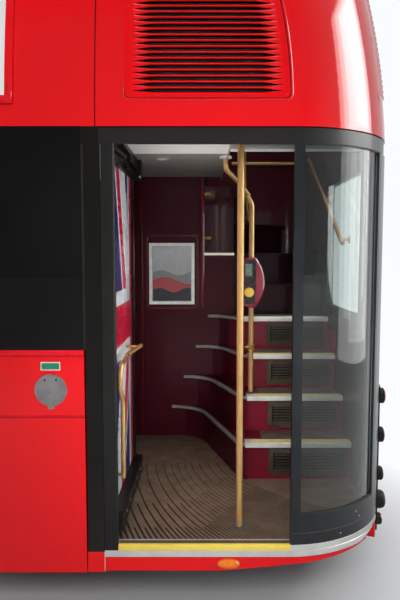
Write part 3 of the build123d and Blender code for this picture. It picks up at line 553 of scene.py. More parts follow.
def flag_vinyl():
    """Film with the plain crossed-bars flag pattern, upright: the level bar's centre is 1.136 m up and the
    upright bar fills the inner end. The slanted bars rise 2.85 in 1; q is the distance along the leaf from a
    slanted bar's middle line, turned round below the level bar. Red with a thin white edge lies on one side
    of that line, and broad white on the other."""
    mat, shader, coord = bare_finish("flag_pattern_vinyl")
    ax = axes(coord)
    along, rise = ax[1] + 1.21, ax[2] - 1.136
    height = abs(rise)
    q = (along - (0.612 - height / 2.85)) * rise.apply("SIGN")
    blue, red, white = (0.022, 0.018, 0.170), (0.680, 0.014, 0.055), (0.86, 0.88, 0.92)
    shade = blend(between(q, -0.145, 0.215), blue, white)
    shade = blend(between(q, -0.110, 0.0), shade, red)
    shade = blend(larger(along > 0.625, height < 0.188), shade, white)
    shade = blend(larger(along > 0.690, height < 0.110), shade, red)
    tone = use("mottle", coord, Scale=3.0, Colour_A=(1, 1, 1), Colour_B=(0.88, 0.88, 0.88))
    put_all(shader, Base_Color=blend(1.0, shade, tone["Colour"], "MULTIPLY"),
            Roughness=spread(tone["Mottle"], 0, 1, 0.24, 0.36))
    bump(shader, use("fine", coord, Scale=160.0)["Height"], 0.25, 0.0002)
    return mat


def poster_print():
    """Plain generic print: a pale sheet that darkens downwards, with three waves of hills, each a sine of
    its own height, swing and number of radians to the metre."""
    mat, shader, coord = bare_finish("plain_hills_print")
    ax = axes(coord)
    x, z = ax[0] - 0.933, ax[2] - 1.155
    shade = blend(spread(z, 0.0, 0.42, 0, 1), (0.20, 0.20, 0.21), (0.36, 0.36, 0.37))
    hills = ((0.22, 0.020, 23.0, (0.16, 0.16, 0.17)), (0.16, 0.026, 17.0, (0.34, 0.02, 0.03)),
             (0.085, 0.018, 29.0, (0.030, 0.030, 0.036)))
    for base, swing, radians, hill in hills:
        top = (x * radians).apply("SINE") * swing + base
        shade = blend(z < top, shade, hill)
    paper = use("mottle", coord, Scale=40.0, Colour_A=(1, 1, 1), Colour_B=(0.9, 0.9, 0.9))
    put_all(shader, Base_Color=blend(1.0, shade, paper["Colour"], "MULTIPLY"),
            Roughness=spread(paper["Mottle"], 0, 1, 0.3, 0.42))
    bump(shader, use("fine", coord, Scale=300.0)["Height"], 0.2, 0.0001)
    return mat


def riser_grille_finish():
    """Brown riser insert with five long dark slots, 19 mm apart, and a dark groove round their ends."""
    mat, shader, coord = bare_finish("riser_grille")
    ax = axes(coord)
    z = ax[2] - PLATFORM
    above_middle = (z / RISE).apply("FRACT") * RISE - 0.116
    step = (z / RISE).apply("FLOOR")
    from_end = smaller(ax[0] - (step * 0.02 + 1.775), 2.205 - ax[0])
    slots = (from_end > 0.0) * (abs(above_middle) < 0.049)
    groove = (abs(from_end + 0.004) < 0.005) * (abs(above_middle) < 0.056)
    rows = use("lines", above_middle, Pitch=0.0192, Width=0.46)["Line"]
    cut = larger(slots * rows, groove)
    tone = use("mottle", coord, Scale=14.0, Colour_A=(0.060, 0.044, 0.029), Colour_B=(0.042, 0.029, 0.020))
    put_all(shader, Base_Color=blend(cut, tone["Colour"], (0.005, 0.004, 0.003)),
            Roughness=spread(tone["Mottle"], 0, 1, 0.4, 0.55), Specular_IOR_Level=0.15)
    bump(shader, 1.0 - cut, 0.6, 0.003)
    return mat


def stair_finish():
    """Crimson riser vinyl on the straight part of the steps, with painted shade that turns it dark maroon
    where they curve to the poster wall."""
    mat, shader, coord = bare_finish("maroon_riser_vinyl_painted_shade")
    tone = use("mottle", coord, Scale=4.0, Colour_A=(0.150, 0.0052, 0.0170), Colour_B=(0.105, 0.0038, 0.0120))
    # Painted shade: the risers darken to maroon on their curved part, deeper in the stair well
    straight = spread(axes(coord)[0], 1.50, 1.66, 0.0, 1.0)
    put_all(shader, Base_Color=blend(straight, (0.030, 0.0022, 0.0060), tone["Colour"]),
            Roughness=spread(tone["Mottle"], 0, 1, 0.34, 0.48), Coat_Weight=0.15, Specular_IOR_Level=0.1)
    bump(shader, use("fine", coord, Scale=520.0)["Height"], 0.35, 0.0003)
    return mat


def flap_finish():
    """Brushed steel lid whose hinge tab, above 0.9455 m, is painted in the body's red."""
    mat, shader, coord = bare_finish("filler_flap_steel")
    tab = axes(coord)[2] > 0.9455
    tone = use("mottle", coord, Scale=18.0, Colour_A=(0.40, 0.39, 0.38), Colour_B=(0.30, 0.295, 0.29))
    put_all(shader, Base_Color=blend(tab, tone["Colour"], (0.66, 0.0035, 0.0070)),
            Metallic=spread(tab, 0, 1, 0.6, 0.0), Roughness=spread(tone["Mottle"], 0, 1, 0.34, 0.48),
            Specular_IOR_Level=0.2)
    bump(shader, use("fine", coord, Scale=240.0, Stretch=(1, 1, 0.1))["Height"], 0.35, 0.0003)
    return mat


def louvre_panel_finish():
    """Red paint with painted shade: it turns black round each pointed slot, as dark as the mouth behind the
    slats, within 8.6 mm of a slot's middle line and less towards the two tips."""
    mat, shader, coord = bare_finish("louvre_panel_red_painted_slot_shade")
    ax = axes(coord)
    z = ax[2] - FIRST_SLOT
    off = abs((z / SLOT_PITCH + 0.5).apply("FRACT") - 0.5)
    rear = (LOUVRE_REAR - TIP_INSET) - (ax[2] - LOUVRE_FOOT) ** 2.0 * LOUVRE_BOW - ax[0]
    opened = spread(smaller(ax[0] - SLOT_TIP, rear), 0.0, 0.09, 0.0, 0.31)
    # Painted shade: black paint round each slot, as dark as the opening behind the slats
    painted_slot_shade = (off < opened) * between(z, -SLOT_PITCH / 2, 0.6)
    tone = use("mottle", coord, Scale=1.3, Colour_A=RED_TONES[0], Colour_B=RED_TONES[1])
    put_all(shader, Base_Color=blend(painted_slot_shade, tone["Colour"], (0.006, 0.003, 0.003)),
            Roughness=spread(painted_slot_shade, 0, 1, 0.30, 0.85), Coat_Weight=spread(painted_slot_shade, 0, 1, 1.0, 0.0),
            Specular_IOR_Level=0.0)
    bump(shader, use("fine", coord, Scale=90.0)["Height"], 0.35, 0.00012)
    return mat


# Paints, rubber and joint lines
RED_TONES = (0.735, 0.0030, 0.0065), (0.680, 0.0025, 0.0055)
RED = finish("coach_red_paint", *RED_TONES, (0.28, 0.36), coat=1.0, mottle=1.3, grain=90.0, depth=0.00012,
             specular=0.0)
RED_TRIM = finish("coach_red_trim", (0.70, 0.010, 0.018), (0.60, 0.006, 0.012), (0.25, 0.36), coat=0.6,
                  mottle=20.0, grain=200.0, specular=0.03)
BLACK = finish("satin_black_paint", (0.0065, 0.0058, 0.0046), (0.0045, 0.0040, 0.0034), (0.36, 0.46),
               coat=0.12, mottle=4.0, grain=260.0, dust=0.06, dust_high=0.5, scuff=0.08, specular=0.22)
POST_BLACK = finish("door_post_black", (0.0120, 0.0112, 0.0104), (0.0085, 0.0080, 0.0074), (0.36, 0.46),
                    coat=0.15, mottle=4.0, grain=260.0, specular=0.25)
FRAME_BLACK = finish("blue_black_frame_paint", (0.0110, 0.0130, 0.0160), (0.0080, 0.0096, 0.0120),
                     (0.30, 0.40), coat=0.25, mottle=3.0, grain=220.0, dust=0.08, dust_high=0.5,
                     specular=0.25)
BAND_BLACK = finish("header_band_coating", (0.0150, 0.0125, 0.0125), (0.0105, 0.0088, 0.0088), (0.34, 0.44),
                    coat=0.2, mottle=3.0, grain=220.0, specular=0.3)
RUBBER = finish("window_rubber", (0.010, 0.010, 0.010), (0.016, 0.016, 0.016), (0.62, 0.78), mottle=30.0,
                grain=500.0, specular=0.3)
SHADOW = finish("joint_gap_black", (0.004, 0.003, 0.003), (0.007, 0.005, 0.005), (0.8, 0.9), mottle=30.0,
                specular=0.1)
# Dark red for joint lines, and for the painted shadow under the side panels' bead
RED_SHADOW = finish("joint_and_shadow_dark_red", (0.300, 0.003, 0.007), (0.240, 0.002, 0.005), (0.5, 0.6), mottle=30.0,
                    specular=0.2)
GREY = finish("grey_pillar_paint", (0.070, 0.074, 0.078), (0.055, 0.058, 0.062), (0.34, 0.45), coat=0.3,
              mottle=3.0, dust=0.10, specular=0.3)

# Linings
CEILING_GRAIN = {"coat": 0.15, "mottle": 3.0, "grain": 600.0, "depth": 0.00025}
MAROON = finish("maroon_laminate", (0.0420, 0.0026, 0.0070), (0.0320, 0.0020, 0.0052), (0.30, 0.42),
                coat=0.25, mottle=2.2, grain=520.0, depth=0.0003, scuff=0.12, scuff_stretch=(1, 1, 0.2),
                specular=0.08)
MAROON_DEEP = finish("maroon_winder_vinyl", (0.0150, 0.0030, 0.0050), (0.0110, 0.0024, 0.0040), (0.34, 0.48),
                     coat=0.15, mottle=3.0, grain=520.0, depth=0.0003, specular=0.05)
MAROON_GLOSS = finish("maroon_gloss_moulding", (0.100, 0.004, 0.014), (0.075, 0.003, 0.010), (0.16, 0.24),
                      coat=0.6, mottle=6.0, grain=120.0, depth=0.0001)
CEILING_PALE = finish("pale_ceiling_laminate", (0.250, 0.238, 0.215), (0.215, 0.204, 0.184), (0.34, 0.46),
                      **CEILING_GRAIN)
CEILING_LIGHT = finish("light_ceiling_panel", (0.78, 0.76, 0.72), (0.70, 0.68, 0.64), (0.34, 0.46),
                       **CEILING_GRAIN)

# Edges, nosings and strips
NOSING_GRAIN = {"mottle": 14.0, "grain": 160.0, "stretch": (0.1, 1, 1), "depth": 0.0003}
STRIP_WEAR = {"mottle": 10.0, "grain": 500.0, "scuff": 0.5, "scuff_stretch": (0.4, 1, 1)}
VINYL_GRAIN = {"mottle": 12.0, "grain": 420.0, "depth": 0.0006}
ALUMINIUM = finish("brushed_aluminium_edge", (0.66, 0.66, 0.64), (0.58, 0.58, 0.57), (0.34, 0.46), metal=0.4,
                   mottle=12.0, grain=140.0, stretch=(0.08, 1, 1), scuff=0.15, scuff_stretch=(0.3, 1, 1))
NOSING_GREY = finish("nosing_aluminium", (0.70, 0.69, 0.66), (0.56, 0.55, 0.52), (0.36, 0.50), metal=0.25,
                     scuff=0.3, scuff_stretch=(0.4, 1, 1), **NOSING_GRAIN)
# Darker copy of the nosing aluminium: painted shade for the curved nosings deep in the stair well
NOSING_PAINTED_SHADE = finish("nosing_aluminium_painted_shade", (0.250, 0.240, 0.225), (0.180, 0.172, 0.160), (0.36, 0.50),
                     metal=0.3, specular=0.2, **NOSING_GRAIN)
YELLOW = finish("sill_yellow_strip", (0.86, 0.66, 0.110), (0.80, 0.58, 0.080), (0.42, 0.55), mottle=10.0,
                grain=500.0, scuff=0.25, scuff_stretch=(0.3, 1, 1))
NOSING_YELLOW = finish("nosing_yellow_strip", (0.86, 0.76, 0.34), (0.76, 0.64, 0.26), (0.48, 0.62),
                       **STRIP_WEAR)
NOSING_WHITE = finish("nosing_pale_strip", (0.82, 0.80, 0.72), (0.72, 0.70, 0.62), (0.48, 0.62),
                      **STRIP_WEAR)
SILL_WHITE = finish("corner_sill_white", (0.56, 0.56, 0.53), (0.47, 0.47, 0.45), (0.34, 0.46), coat=0.2,
                    mottle=8.0, scuff=0.3, scuff_stretch=(0.3, 1, 1))
SILL_VINYL = finish("sill_brown_vinyl", (0.150, 0.100, 0.072), (0.105, 0.070, 0.050), (0.5, 0.66),
                    **VINYL_GRAIN)
TREAD_VINYL = finish("tread_brown_vinyl", (0.150, 0.105, 0.080), (0.105, 0.070, 0.053), (0.5, 0.66),
                     scuff=0.4, scuff_stretch=(1, 1, 1), **VINYL_GRAIN)
DECK = finish("upper_deck_vinyl", (0.105, 0.100, 0.095), (0.070, 0.066, 0.064), (0.5, 0.66), mottle=60.0,
              grain=420.0, depth=0.0005, scuff=0.3, scuff_stretch=(1, 1, 1))

# Metals
GOLD = finish("gold_handrail_coating", (0.640, 0.370, 0.140), (0.600, 0.345, 0.128), (0.22, 0.26), metal=0.6,
              coat=0.35, mottle=2.0, grain=420.0, depth=0.00002)
BRASS = finish("brass_clamp", (0.55, 0.34, 0.10), (0.40, 0.23, 0.06), (0.22, 0.36), metal=0.8, mottle=30.0)
STEEL = finish("brushed_steel", (0.40, 0.39, 0.38), (0.30, 0.295, 0.29), (0.34, 0.50), metal=0.75,
               mottle=18.0, grain=240.0, stretch=(1, 1, 0.1), depth=0.0003, scuff=0.5,
               scuff_stretch=(1, 1, 2))
CHASSIS = finish("chassis_black_wax", (0.020, 0.019, 0.018), (0.034, 0.030, 0.026), (0.55, 0.75), mottle=9.0,
                 grain=180.0, depth=0.0005, dust=0.5, dust_high=0.3)
IRON = finish("engine_grey_casting", (0.060, 0.062, 0.064), (0.040, 0.040, 0.042), (0.5, 0.7), metal=0.3,
              mottle=12.0, grain=120.0, depth=0.0008)

# Ticket reader, labels and plates
READER_RED = finish("reader_red_moulding", (0.230, 0.007, 0.026), (0.180, 0.006, 0.020), (0.14, 0.20),
                    coat=0.8, grain=120.0, depth=0.00008)
READER_DARK = finish("reader_dark_face", (0.020, 0.012, 0.012), (0.014, 0.009, 0.009), (0.22, 0.32),
                     coat=0.4, mottle=20.0)
READER_GREEN = finish("reader_grey_green_screen", (0.130, 0.210, 0.180), (0.090, 0.150, 0.130), (0.10, 0.16),
                      coat=0.8, mottle=40.0)
DISC_YELLOW = finish("touch_disc_yellow", (0.72, 0.46, 0.020), (0.62, 0.38, 0.015), (0.30, 0.4), coat=0.4,
                     mottle=30.0)
LABEL_GREEN = finish("blank_green_label", (0.018, 0.200, 0.095), (0.015, 0.160, 0.078), (0.34, 0.44),
                     mottle=30.0)
LABEL_WHITE = finish("blank_white_border", (0.62, 0.64, 0.62), (0.52, 0.54, 0.52), (0.34, 0.44), mottle=30.0)
BLANK_PALE = finish("blank_pale_board", (0.70, 0.72, 0.72), (0.62, 0.64, 0.65), (0.34, 0.46), mottle=2.0,
                    grain=300.0)
PLATE_YELLOW = finish("blank_rear_plate", (0.74, 0.50, 0.040), (0.66, 0.44, 0.032), (0.30, 0.40),
                      mottle=12.0)

# Glass and lenses
SMOKED = finish("smoked_side_glass", (0.0048, 0.0042, 0.0046), (0.0080, 0.0072, 0.0074), (0.015, 0.03),
                mottle=1.6, grain=4.0, depth=0.0001, specular=0.32)
SCREEN_GLASS = finish("maroon_screen_glass", (0.030, 0.0040, 0.0085), (0.018, 0.0030, 0.0060), (0.05, 0.09),
                      coat=0.6, mottle=3.0, grain=5.0, depth=0.0004)
CLEAR = window_pane("corner_window_glass", (0.80, 0.87, 0.85), 1.38)
LEAF_GLASS = window_pane("door_leaf_glass", (0.78, 0.82, 0.82), 1.45)
AMBER = lens("amber_lens", (0.72, 0.17, 0.008), (0.62, 0.12, 0.005))
RED_LENS = lens("red_lens", (0.42, 0.006, 0.006), (0.30, 0.004, 0.004))
DARK_LENS = lens("dark_lens", (0.045, 0.010, 0.010), (0.030, 0.008, 0.008))
MARKER_ORANGE = lens("side_marker_lens", (0.86, 0.22, 0.006), (0.80, 0.17, 0.004))

DRESS = {
    RED: "skirt side_panel_lower side_panel_upper upper_panel_front upper_panel_corner rear_louvre "
         "tail_panel_lower tail_panel_upper engine_door off_panel_lower off_panel_upper advert_board",
    BLACK: "entrance_pillar body_post side_window_frame leaf_frame door_track bumper lamps_near lamps_off",
    POST_BLACK: "door_post",
    FRAME_BLACK: "corner_frame",
    BAND_BLACK: "header_band",
    GREY: "rear_pillar",
    MAROON: "poster_wall stair_lining",
    stair_finish(): "stair_lower",
    MAROON_DEEP: "stair_upper",
    CEILING_PALE: "ceiling",
    ALUMINIUM: "step_edge",
    LABEL_WHITE: "poster_frame",
    CHASSIS: "underframe arm_low arm_high",
    DECK: "upper_deck",
    SMOKED: "side_window off_window",
    CLEAR: "corner_glass tail_window",
    LEAF_GLASS: "leaf_glass",
    SCREEN_GLASS: "glass_screen",
    GOLD: "entrance_pole newel_pole newel_branch wall_rail leaf_rail",
    READER_RED: "ticket_reader",
    flap_finish(): "filler_flap",
    IRON: "engine_block cooling_pack",
    ribbed_floor(): "platform_floor",
    louvre_panel_finish(): "side_louvre",
}
for mat, names in DRESS.items():
    for n in names.split():
        NODES[n].data.materials.clear()
        NODES[n].data.materials.append(mat)


# Louvres

def louvre_edge(z):
    """Rear edge of the side louvre panel at height z, which curves forward with the lean."""
    return LOUVRE_REAR - LOUVRE_BOW * (z - LOUVRE_FOOT) ** 2


def louvre_outline():
    """The side louvre panel's outline in run and height, with rounded corners."""
    z = np.linspace(2.275, 2.875, 12)
    low, high, near_top = 2.30, LOUVRE_TOP, 2.86
    return np.concatenate([
        rounded_path([(1.2, LOUVRE_FOOT), (LOUVRE_REAR, LOUVRE_FOOT), (louvre_edge(low), low)], [0.026]),
        np.stack([louvre_edge(z), z], 1)[1:-1],
        rounded_path([(louvre_edge(near_top), near_top), (louvre_edge(high), high), (1.2, high)], [0.026]),
        rounded_path([(1.1, high), (LOUVRE_FRONT, high), (LOUVRE_FRONT, LOUVRE_FOOT), (1.1, LOUVRE_FOOT)],
                     [0.028, 0.028]),
    ])


def slats(tip0, tip1, rows):
    """Rounded slats between pointed slots. Across a slat the skin swells by a half sine; along it the slots
    narrow to nothing over the point's length at both ends, so the slat is wider and flatter there."""
    point, slot_height, out = 0.090, 0.0168, 0.0075
    parts = []
    t = np.linspace(0, 1, 7)[None, :]
    for k in rows:
        z = FIRST_SLOT + SLOT_PITCH * k
        a, b = tip0, tip1(z)
        middle = np.linspace(a + point, b - point, 16)[1:-1]
        s = np.concatenate([np.linspace(a, a + point, 6), middle, np.linspace(b - point, b, 6)])[:, None]
        opening = np.clip(np.minimum(s - a, b - s) / point, 0, 1)
        low = z + slot_height / 2 * opening
        high = z + SLOT_PITCH - slot_height / 2 * opening
        height = low + (high - low) * t
        front = on_body(s, height, 0.0006 + out * opening ** 0.8 * np.sin(math.pi * t))
        back = on_body(s, height[:, [-1, 0]], -0.010)
        parts.append(np.concatenate([front, back], 1))
    return parts


side_slats = slats(SLOT_TIP, lambda z: louvre_edge(z) - TIP_INSET, range(21))
rear_slats = slats(2.362, lambda z: TAIL_RUN - 0.095, range(2, 21))
piece("side_louvre_slats", side_slats, RED, angle=60)
piece("rear_louvre_slats", rear_slats, RED, angle=60)

edge = louvre_outline()
from_middle = edge - edge.mean(0)
rim = edge + from_middle / np.linalg.norm(from_middle, axis=1)[:, None] * 0.0085
rim_bead = bead_on_body(rim, 0.011, half_round(0.0034))
piece("side_louvre_joint", [bead_on_body(edge, 0.0045, half_round(0.0009))], SHADOW, closed=True)
piece("side_louvre_rim", [rim_bead], RED_TRIM, closed=True)
upper_joint = plate_on_body(0.8072, 0.8122, HEADER_TOP, SECTION_TOP, -0.002, 0.0011, 2, 16)
piece("upper_panel_joint", [upper_joint], SHADOW)
tail_joint = plate_on_body(TAIL_RUN - 0.645, TAIL_RUN - 0.640, HEADER_TOP, 2.30, -0.002, 0.0011, 2, 8)
piece("tail_upper_joint", [tail_joint], SHADOW)
rear_edge = loop_path(rectangle(2.303, TAIL_RUN - 0.060, 2.3006, LOUVRE_TOP), 0.02)
piece("rear_louvre_joint", [bead_on_body(rear_edge, 0.0045, half_round(0.0009))], SHADOW, closed=True)

# Box behind the side slots that carries air to the cooling pack, and the shade behind the rear louvre
duct = [block(0.985, 0.995, -1.150, -1.062, 2.262, 2.860), block(1.676, 1.686, -1.150, -1.062, 2.262, 2.860),
        block(0.985, 1.686, -1.150, -1.062, 2.2425, 2.250), block(0.985, 1.686, -1.110, -1.062, 2.860, 2.868)]
piece("louvre_air_box", duct, CHASSIS)
rear_shade = plate_on_body(2.31, TAIL_RUN - 0.08, 2.306, 2.900, -0.040, -0.034, 30, 8)
piece("rear_louvre_shade", [rear_shade], CHASSIS)

LOUVRE_SCREWS = ((0.962, 2.87), (0.962, 2.68), (0.962, 2.45), (0.962, 2.262), (1.10, 2.258), (1.325, 2.258),
                 (1.54, 2.258), (1.700, 2.262), (1.19, 2.894), (1.45, 2.894))
PANEL_SCREWS = (0.349, 0.43), (0.621, 0.43), (0.346, 0.017), (0.628, 0.017), (0.08, 0.43), (0.08, 0.017)
piece("side_louvre_screws", [screw(s, z, 0.0055) for s, z in LOUVRE_SCREWS], RED_TRIM)
piece("side_panel_screws", [screw(s, z, 0.0065) for s, z in PANEL_SCREWS], RED_TRIM)

# Rounded ledge under the window and the bead that covers the joint between the two side panels
LEDGE = [(-0.004, 0.0), (0.0035, 0.001), (0.0060, 0.006), (0.0062, 0.020), (0.0035, 0.026), (-0.004, 0.0265)]
BEAD = [(-0.002, -0.006), (0.0030, -0.005), (0.0052, -0.001), (0.0040, 0.004), (-0.002, 0.006)]
piece("window_ledge", [trim_on_body(BAY, 1.034, LEDGE)], RED_TRIM)
piece("window_ledge_joint", [trim_on_body(BAY, 1.0305, rectangle(-0.002, 0.0012, 0, 0.0035))], RED_SHADOW)
piece("side_panel_bead", [trim_on_body(BAY, 0.739, BEAD)], RED_TRIM)
# The dark red strip under the bead is its painted shadow
piece("side_panel_bead_shadow", [trim_on_body(BAY, 0.7305, rectangle(-0.002, 0.001, 0, 0.003))], RED_SHADOW)

# Blank pale board in the advert frame, and its rounded rim
piece("advert_blank_sheet", [plate_on_body(0.0, 0.390, 2.258, 2.778, 0.0045, 0.0062, 4, 14)], BLANK_PALE)
rim = rounded_path([(0.0, 2.7985), (0.4105, 2.7985), (0.4105, 2.2375), (0.0, 2.2375)], [0.02, 0.02], 8)
swell = 0.0122 + 0.0055 * half_round(1.0, 9) ** 0.7
moulding = bead_on_body(rim, 0.034, swell, foot=0.010, closed=False)
piece("advert_frame_moulding", [moulding], RED_TRIM, angle=60)

# Blank green label with its white border, above the filler flap, and the flap's rim, rivets, well and neck
LABEL = (0.538, 0.622, 0.968, 0.999)
piece("filler_label_border", [plate_on_body(*grown(LABEL, 0.005), -0.001, 0.0008, 3, 3)], LABEL_WHITE)
piece("filler_label", [plate_on_body(*LABEL, 0.0, 0.0013, 3, 3)], LABEL_GREEN)
FLAP_Y = NEAR_Y - 0.0003
flap_rim = [(0.0, 0.0755), (0.0042, 0.0775), (0.0050, 0.0745), (0.0046, 0.071)]
rivet = [(0.0036, 0.0055), (0.0056, 0.0052), (0.0060, 0.003)]
flap_gap = [(-0.002, 0.0765), (0.0006, 0.0765), (0.0006, 0.0795), (-0.002, 0.0795)]
well = [(-0.046, 0.0635), (0.0004, 0.0635), (0.0004, 0.0650), (-0.0465, 0.0650)]
neck = [(-0.030, 0.026), (-0.012, 0.026), (-0.010, 0.024), (-0.010, 0.020), (-0.014, 0.010)]
piece("filler_flap_rim", [turned(flap_rim, (FLAP_X, FLAP_Y, FLAP_Z), OUTWARD, n=56)], STEEL, body="fuel_flap")
rivets = [turned(rivet, (x, FLAP_Y, FLAP_Z + 0.050), OUTWARD, n=14) for x in (0.553, 0.607)]
piece("filler_flap_rivets", rivets, RUBBER, body="fuel_flap")
piece("filler_flap_gap", [turned(flap_gap, (FLAP_X, NEAR_Y, FLAP_Z), OUTWARD, n=56)], RED_SHADOW, closed=True)
piece("filler_well_rim", [turned(well, (FLAP_X, NEAR_Y, FLAP_Z), OUTWARD, n=48)], CHASSIS)
piece("filler_neck_cap", [turned(neck, (FLAP_X, -1.225, FLAP_Z), OUTWARD, n=28)], CHASSIS)

# Black cover at the pillar's head, and the rounded inside corner between post and header
head_cover = plate_on_body(0.7405, 0.8285, HEADER_FOOT, 2.1155, -0.0058, 0.0, 3, 3)
piece("pillar_head_cover", [head_cover], BLACK, bevel=0.001)
POST_X, GUSSET_R = 0.8965, 0.030
a = np.linspace(0, math.pi / 2, 9)
curve = np.stack([POST_X + GUSSET_R * (1 - np.cos(a)), HEADER_FOOT - GUSSET_R * (1 - np.sin(a))], 1)
outline = np.vstack([[(POST_X, HEADER_FOOT)], curve])
gusset = at_depths([outline, outline], [-1.2515, -1.2310], "y")
piece("header_corner_gusset", [gusset], BAND_BLACK)

# Entrance pillar joint and a painted highlight beside it on the door post's edge, the seam of the foot block
# and the door post's rubber
piece("pillar_joint", [plate_on_body(0.8285, 0.8312, 0.056, 2.035, -0.002, 0.0008, 2, 2)], SHADOW)
# A light steel strip beside the joint, near its top, is a painted highlight on the door post's edge
piece("pillar_joint_painted_highlight", [plate_on_body(0.8318, 0.8335, 1.87, 2.034, -0.002, 0.0010, 2, 2)], STEEL)
piece("pillar_window_rubber", [plate_on_body(0.742, 0.751, 1.062, 2.036, -0.030, 0.0005, 2, 2)], RUBBER)
piece("foot_block_joint", [plate_on_body(0.8290, 0.8315, -0.049, 0.054, -0.004, 0.0009, 2, 2)], ALUMINIUM)
piece("door_edge_rubber", [block(0.8955, 0.8974, -1.2540, -1.2360, 0.165, 2.020)], RUBBER, bevel=0.0006)

# Doorway edge: yellow strip, vinyl behind it, aluminium strip below, and white round the corner
run = np.linspace(DOORWAY_FRONT, DOORWAY_REAR, 4)
yellow_strip = [(0.0018, -0.027), (0.0032, -0.024), (0.0034, 0.0015), (0.001, 0.0038), (-0.012, 0.0038),
                (-0.012, 0.0005), (0.0002, 0.0005), (0.0002, -0.027)]
vinyl_strip = [(-0.0125, 0.0002), (-0.0125, 0.0026), (-0.0430, 0.0026), (-0.0430, 0.0002)]
piece("sill_yellow_strip", [trim_on_body(run, PLATFORM, yellow_strip)], YELLOW)
piece("sill_vinyl_strip", [trim_on_body(run, PLATFORM, vinyl_strip)], SILL_VINYL)
run = np.concatenate([np.linspace(0.8305, CORNER_X, 6), np.linspace(CORNER_X, 2.317, 30)[1:]])
aluminium = trim_on_body(run, 0.0, [(0.0, 0), (0.0035, 0), (0.0048, 0), (0.0040, 0), (0.0, 0)])
foot = (0.0295 + np.clip((run - 2.184) / 0.133, 0, 1) * 0.030)[:, None]
aluminium[..., 2] = foot + (0.0620 - foot) * np.array([0.0, 0.06, 0.5, 0.92, 1.0])
piece("sill_aluminium_strip", [aluminium], ALUMINIUM)
run = np.concatenate([[1.747], np.linspace(CORNER_X + 0.01, 2.404, 30)])
white_strip = [(0.0, 0.0), (0.0030, 0.001), (0.0036, 0.012), (0.0028, 0.025), (0.0, 0.026)]
piece("corner_sill_white_strip", [trim_on_body(run, 0.0635, white_strip)], SILL_WHITE)

# Orange side marker on the skirt with its two screws
MARKER = (1.442, NEAR_Y + 0.003, -0.006)
marker = [(-0.004, 0.053), (0.004, 0.053), (0.0085, 0.050), (0.0125, 0.040), (0.0150, 0.024), (0.0160, 0.008)]
marker_rim = [(-0.002, 0.0565), (0.0055, 0.0565), (0.0065, 0.0545), (0.0062, 0.0525)]
marker_lens = turned(marker, MARKER, OUTWARD, n=36, squash=0.44)
piece("side_marker_lens", [marker_lens], MARKER_ORANGE)
piece("side_marker_rim", [turned(marker_rim, MARKER, OUTWARD, n=36, squash=0.46)], AMBER)
marker_screws = [screw(MARKER[0] + side * 0.045, MARKER[2], 0.0035, 0.0085) for side in (-1, 1)]
piece("side_marker_screws", marker_screws, STEEL)

# Joint line and screws of the kick panel, the corner glass's rubber and the header band's edges
run = np.concatenate([[1.748], np.linspace(CORNER_X + 0.01, 2.318, 26)])
kick_joint = [(-0.001, 0), (0.0009, 0.0004), (0.0009, 0.0026), (-0.001, 0.003)]
piece("kick_panel_joint", [trim_on_body(run, 0.1465 + 0.006 * (run - 1.748), kick_joint)], GREY)
kick_screws = [screw(2.02, 0.118, 0.0045), screw(2.13, 0.205, 0.0045), screw(2.16, 0.172, 0.004)]
piece("kick_panel_screws", kick_screws, STEEL)
glass_rubber = [(-0.0135, 0), (-0.002, 0), (-0.004, 0.0045), (-0.0135, 0.008)]
piece("corner_glass_rubber", [trim_on_body(np.linspace(1.795, 2.312, 26), 0.2385, glass_rubber)], RUBBER)
run = np.concatenate([[0.752], np.linspace(CORNER_X, 2.34, 30)])
lip = [(-0.022, 0), (-0.0055, 0), (-0.0045, 0.003), (-0.0048, 0.006), (-0.022, 0.006)]
piece("header_band_lip", [trim_on_body(run, HEADER_FOOT, lip)], RUBBER)
piece("header_shadow_gap", [trim_on_body(run, 2.1120, rectangle(-0.022, -0.0030, 0, 0.0038))], SHADOW)


# Stairs

# Each nosing's start on the poster wall, its bend, where it turns along the bus, and the bend's radius
NOSINGS = ((1.080, (1.288, 0.469), 1.547, 0.280), (1.174, (1.352, 0.469), 1.580, 0.240),
           (1.268, (1.445, 0.469), 1.610, 0.190), (1.363, (1.452, 0.463), 1.604, 0.060))
STRAIGHT_FROM = (1.585, 1.615, 1.640, 1.625)
WINDERS = (((1.480, 0.537), (STEP_END, 0.537)), ((1.480, 0.5277), (STEP_END, 0.7993)),
           ((1.480, 0.569), (2.058, 1.202)), ((1.440, 0.570), (1.639, 1.202)))
TRIM = [(-0.078, 0.0003), (-0.078, 0.0028), (0.0022, 0.0030), (0.0045, 0.0005), (0.0045, -0.0255),
        (0.0026, -0.028), (0.0003, -0.028), (0.0003, 0.0003)]
THIN_TRIM = [(-0.016, 0.0003), (-0.016, 0.0022), (0.0018, 0.0024), (0.0036, 0.0005), (0.0036, -0.0165),
             (0.0020, -0.0185), (0.0003, -0.0185), (0.0003, 0.0003)]
STRIP = [(-0.068, 0.0026), (-0.067, 0.0044), (-0.007, 0.0044), (-0.006, 0.0026)]


def step_top(i):
    """Height of the tread after i rises."""
    return PLATFORM + RISE * i


def nosing_path(i):
    """Front edge of step i in plan: from the poster wall, round two bends, then along the bus."""
    wall_x, bend, turn_x, bend_r = NOSINGS[i]
    y = FIRST_NOSING + GOING * i
    return rounded_path([(wall_x, WALL_Y - 0.001), bend, (turn_x, y), (STEP_END, y)], [bend_r, 0.070], 12)


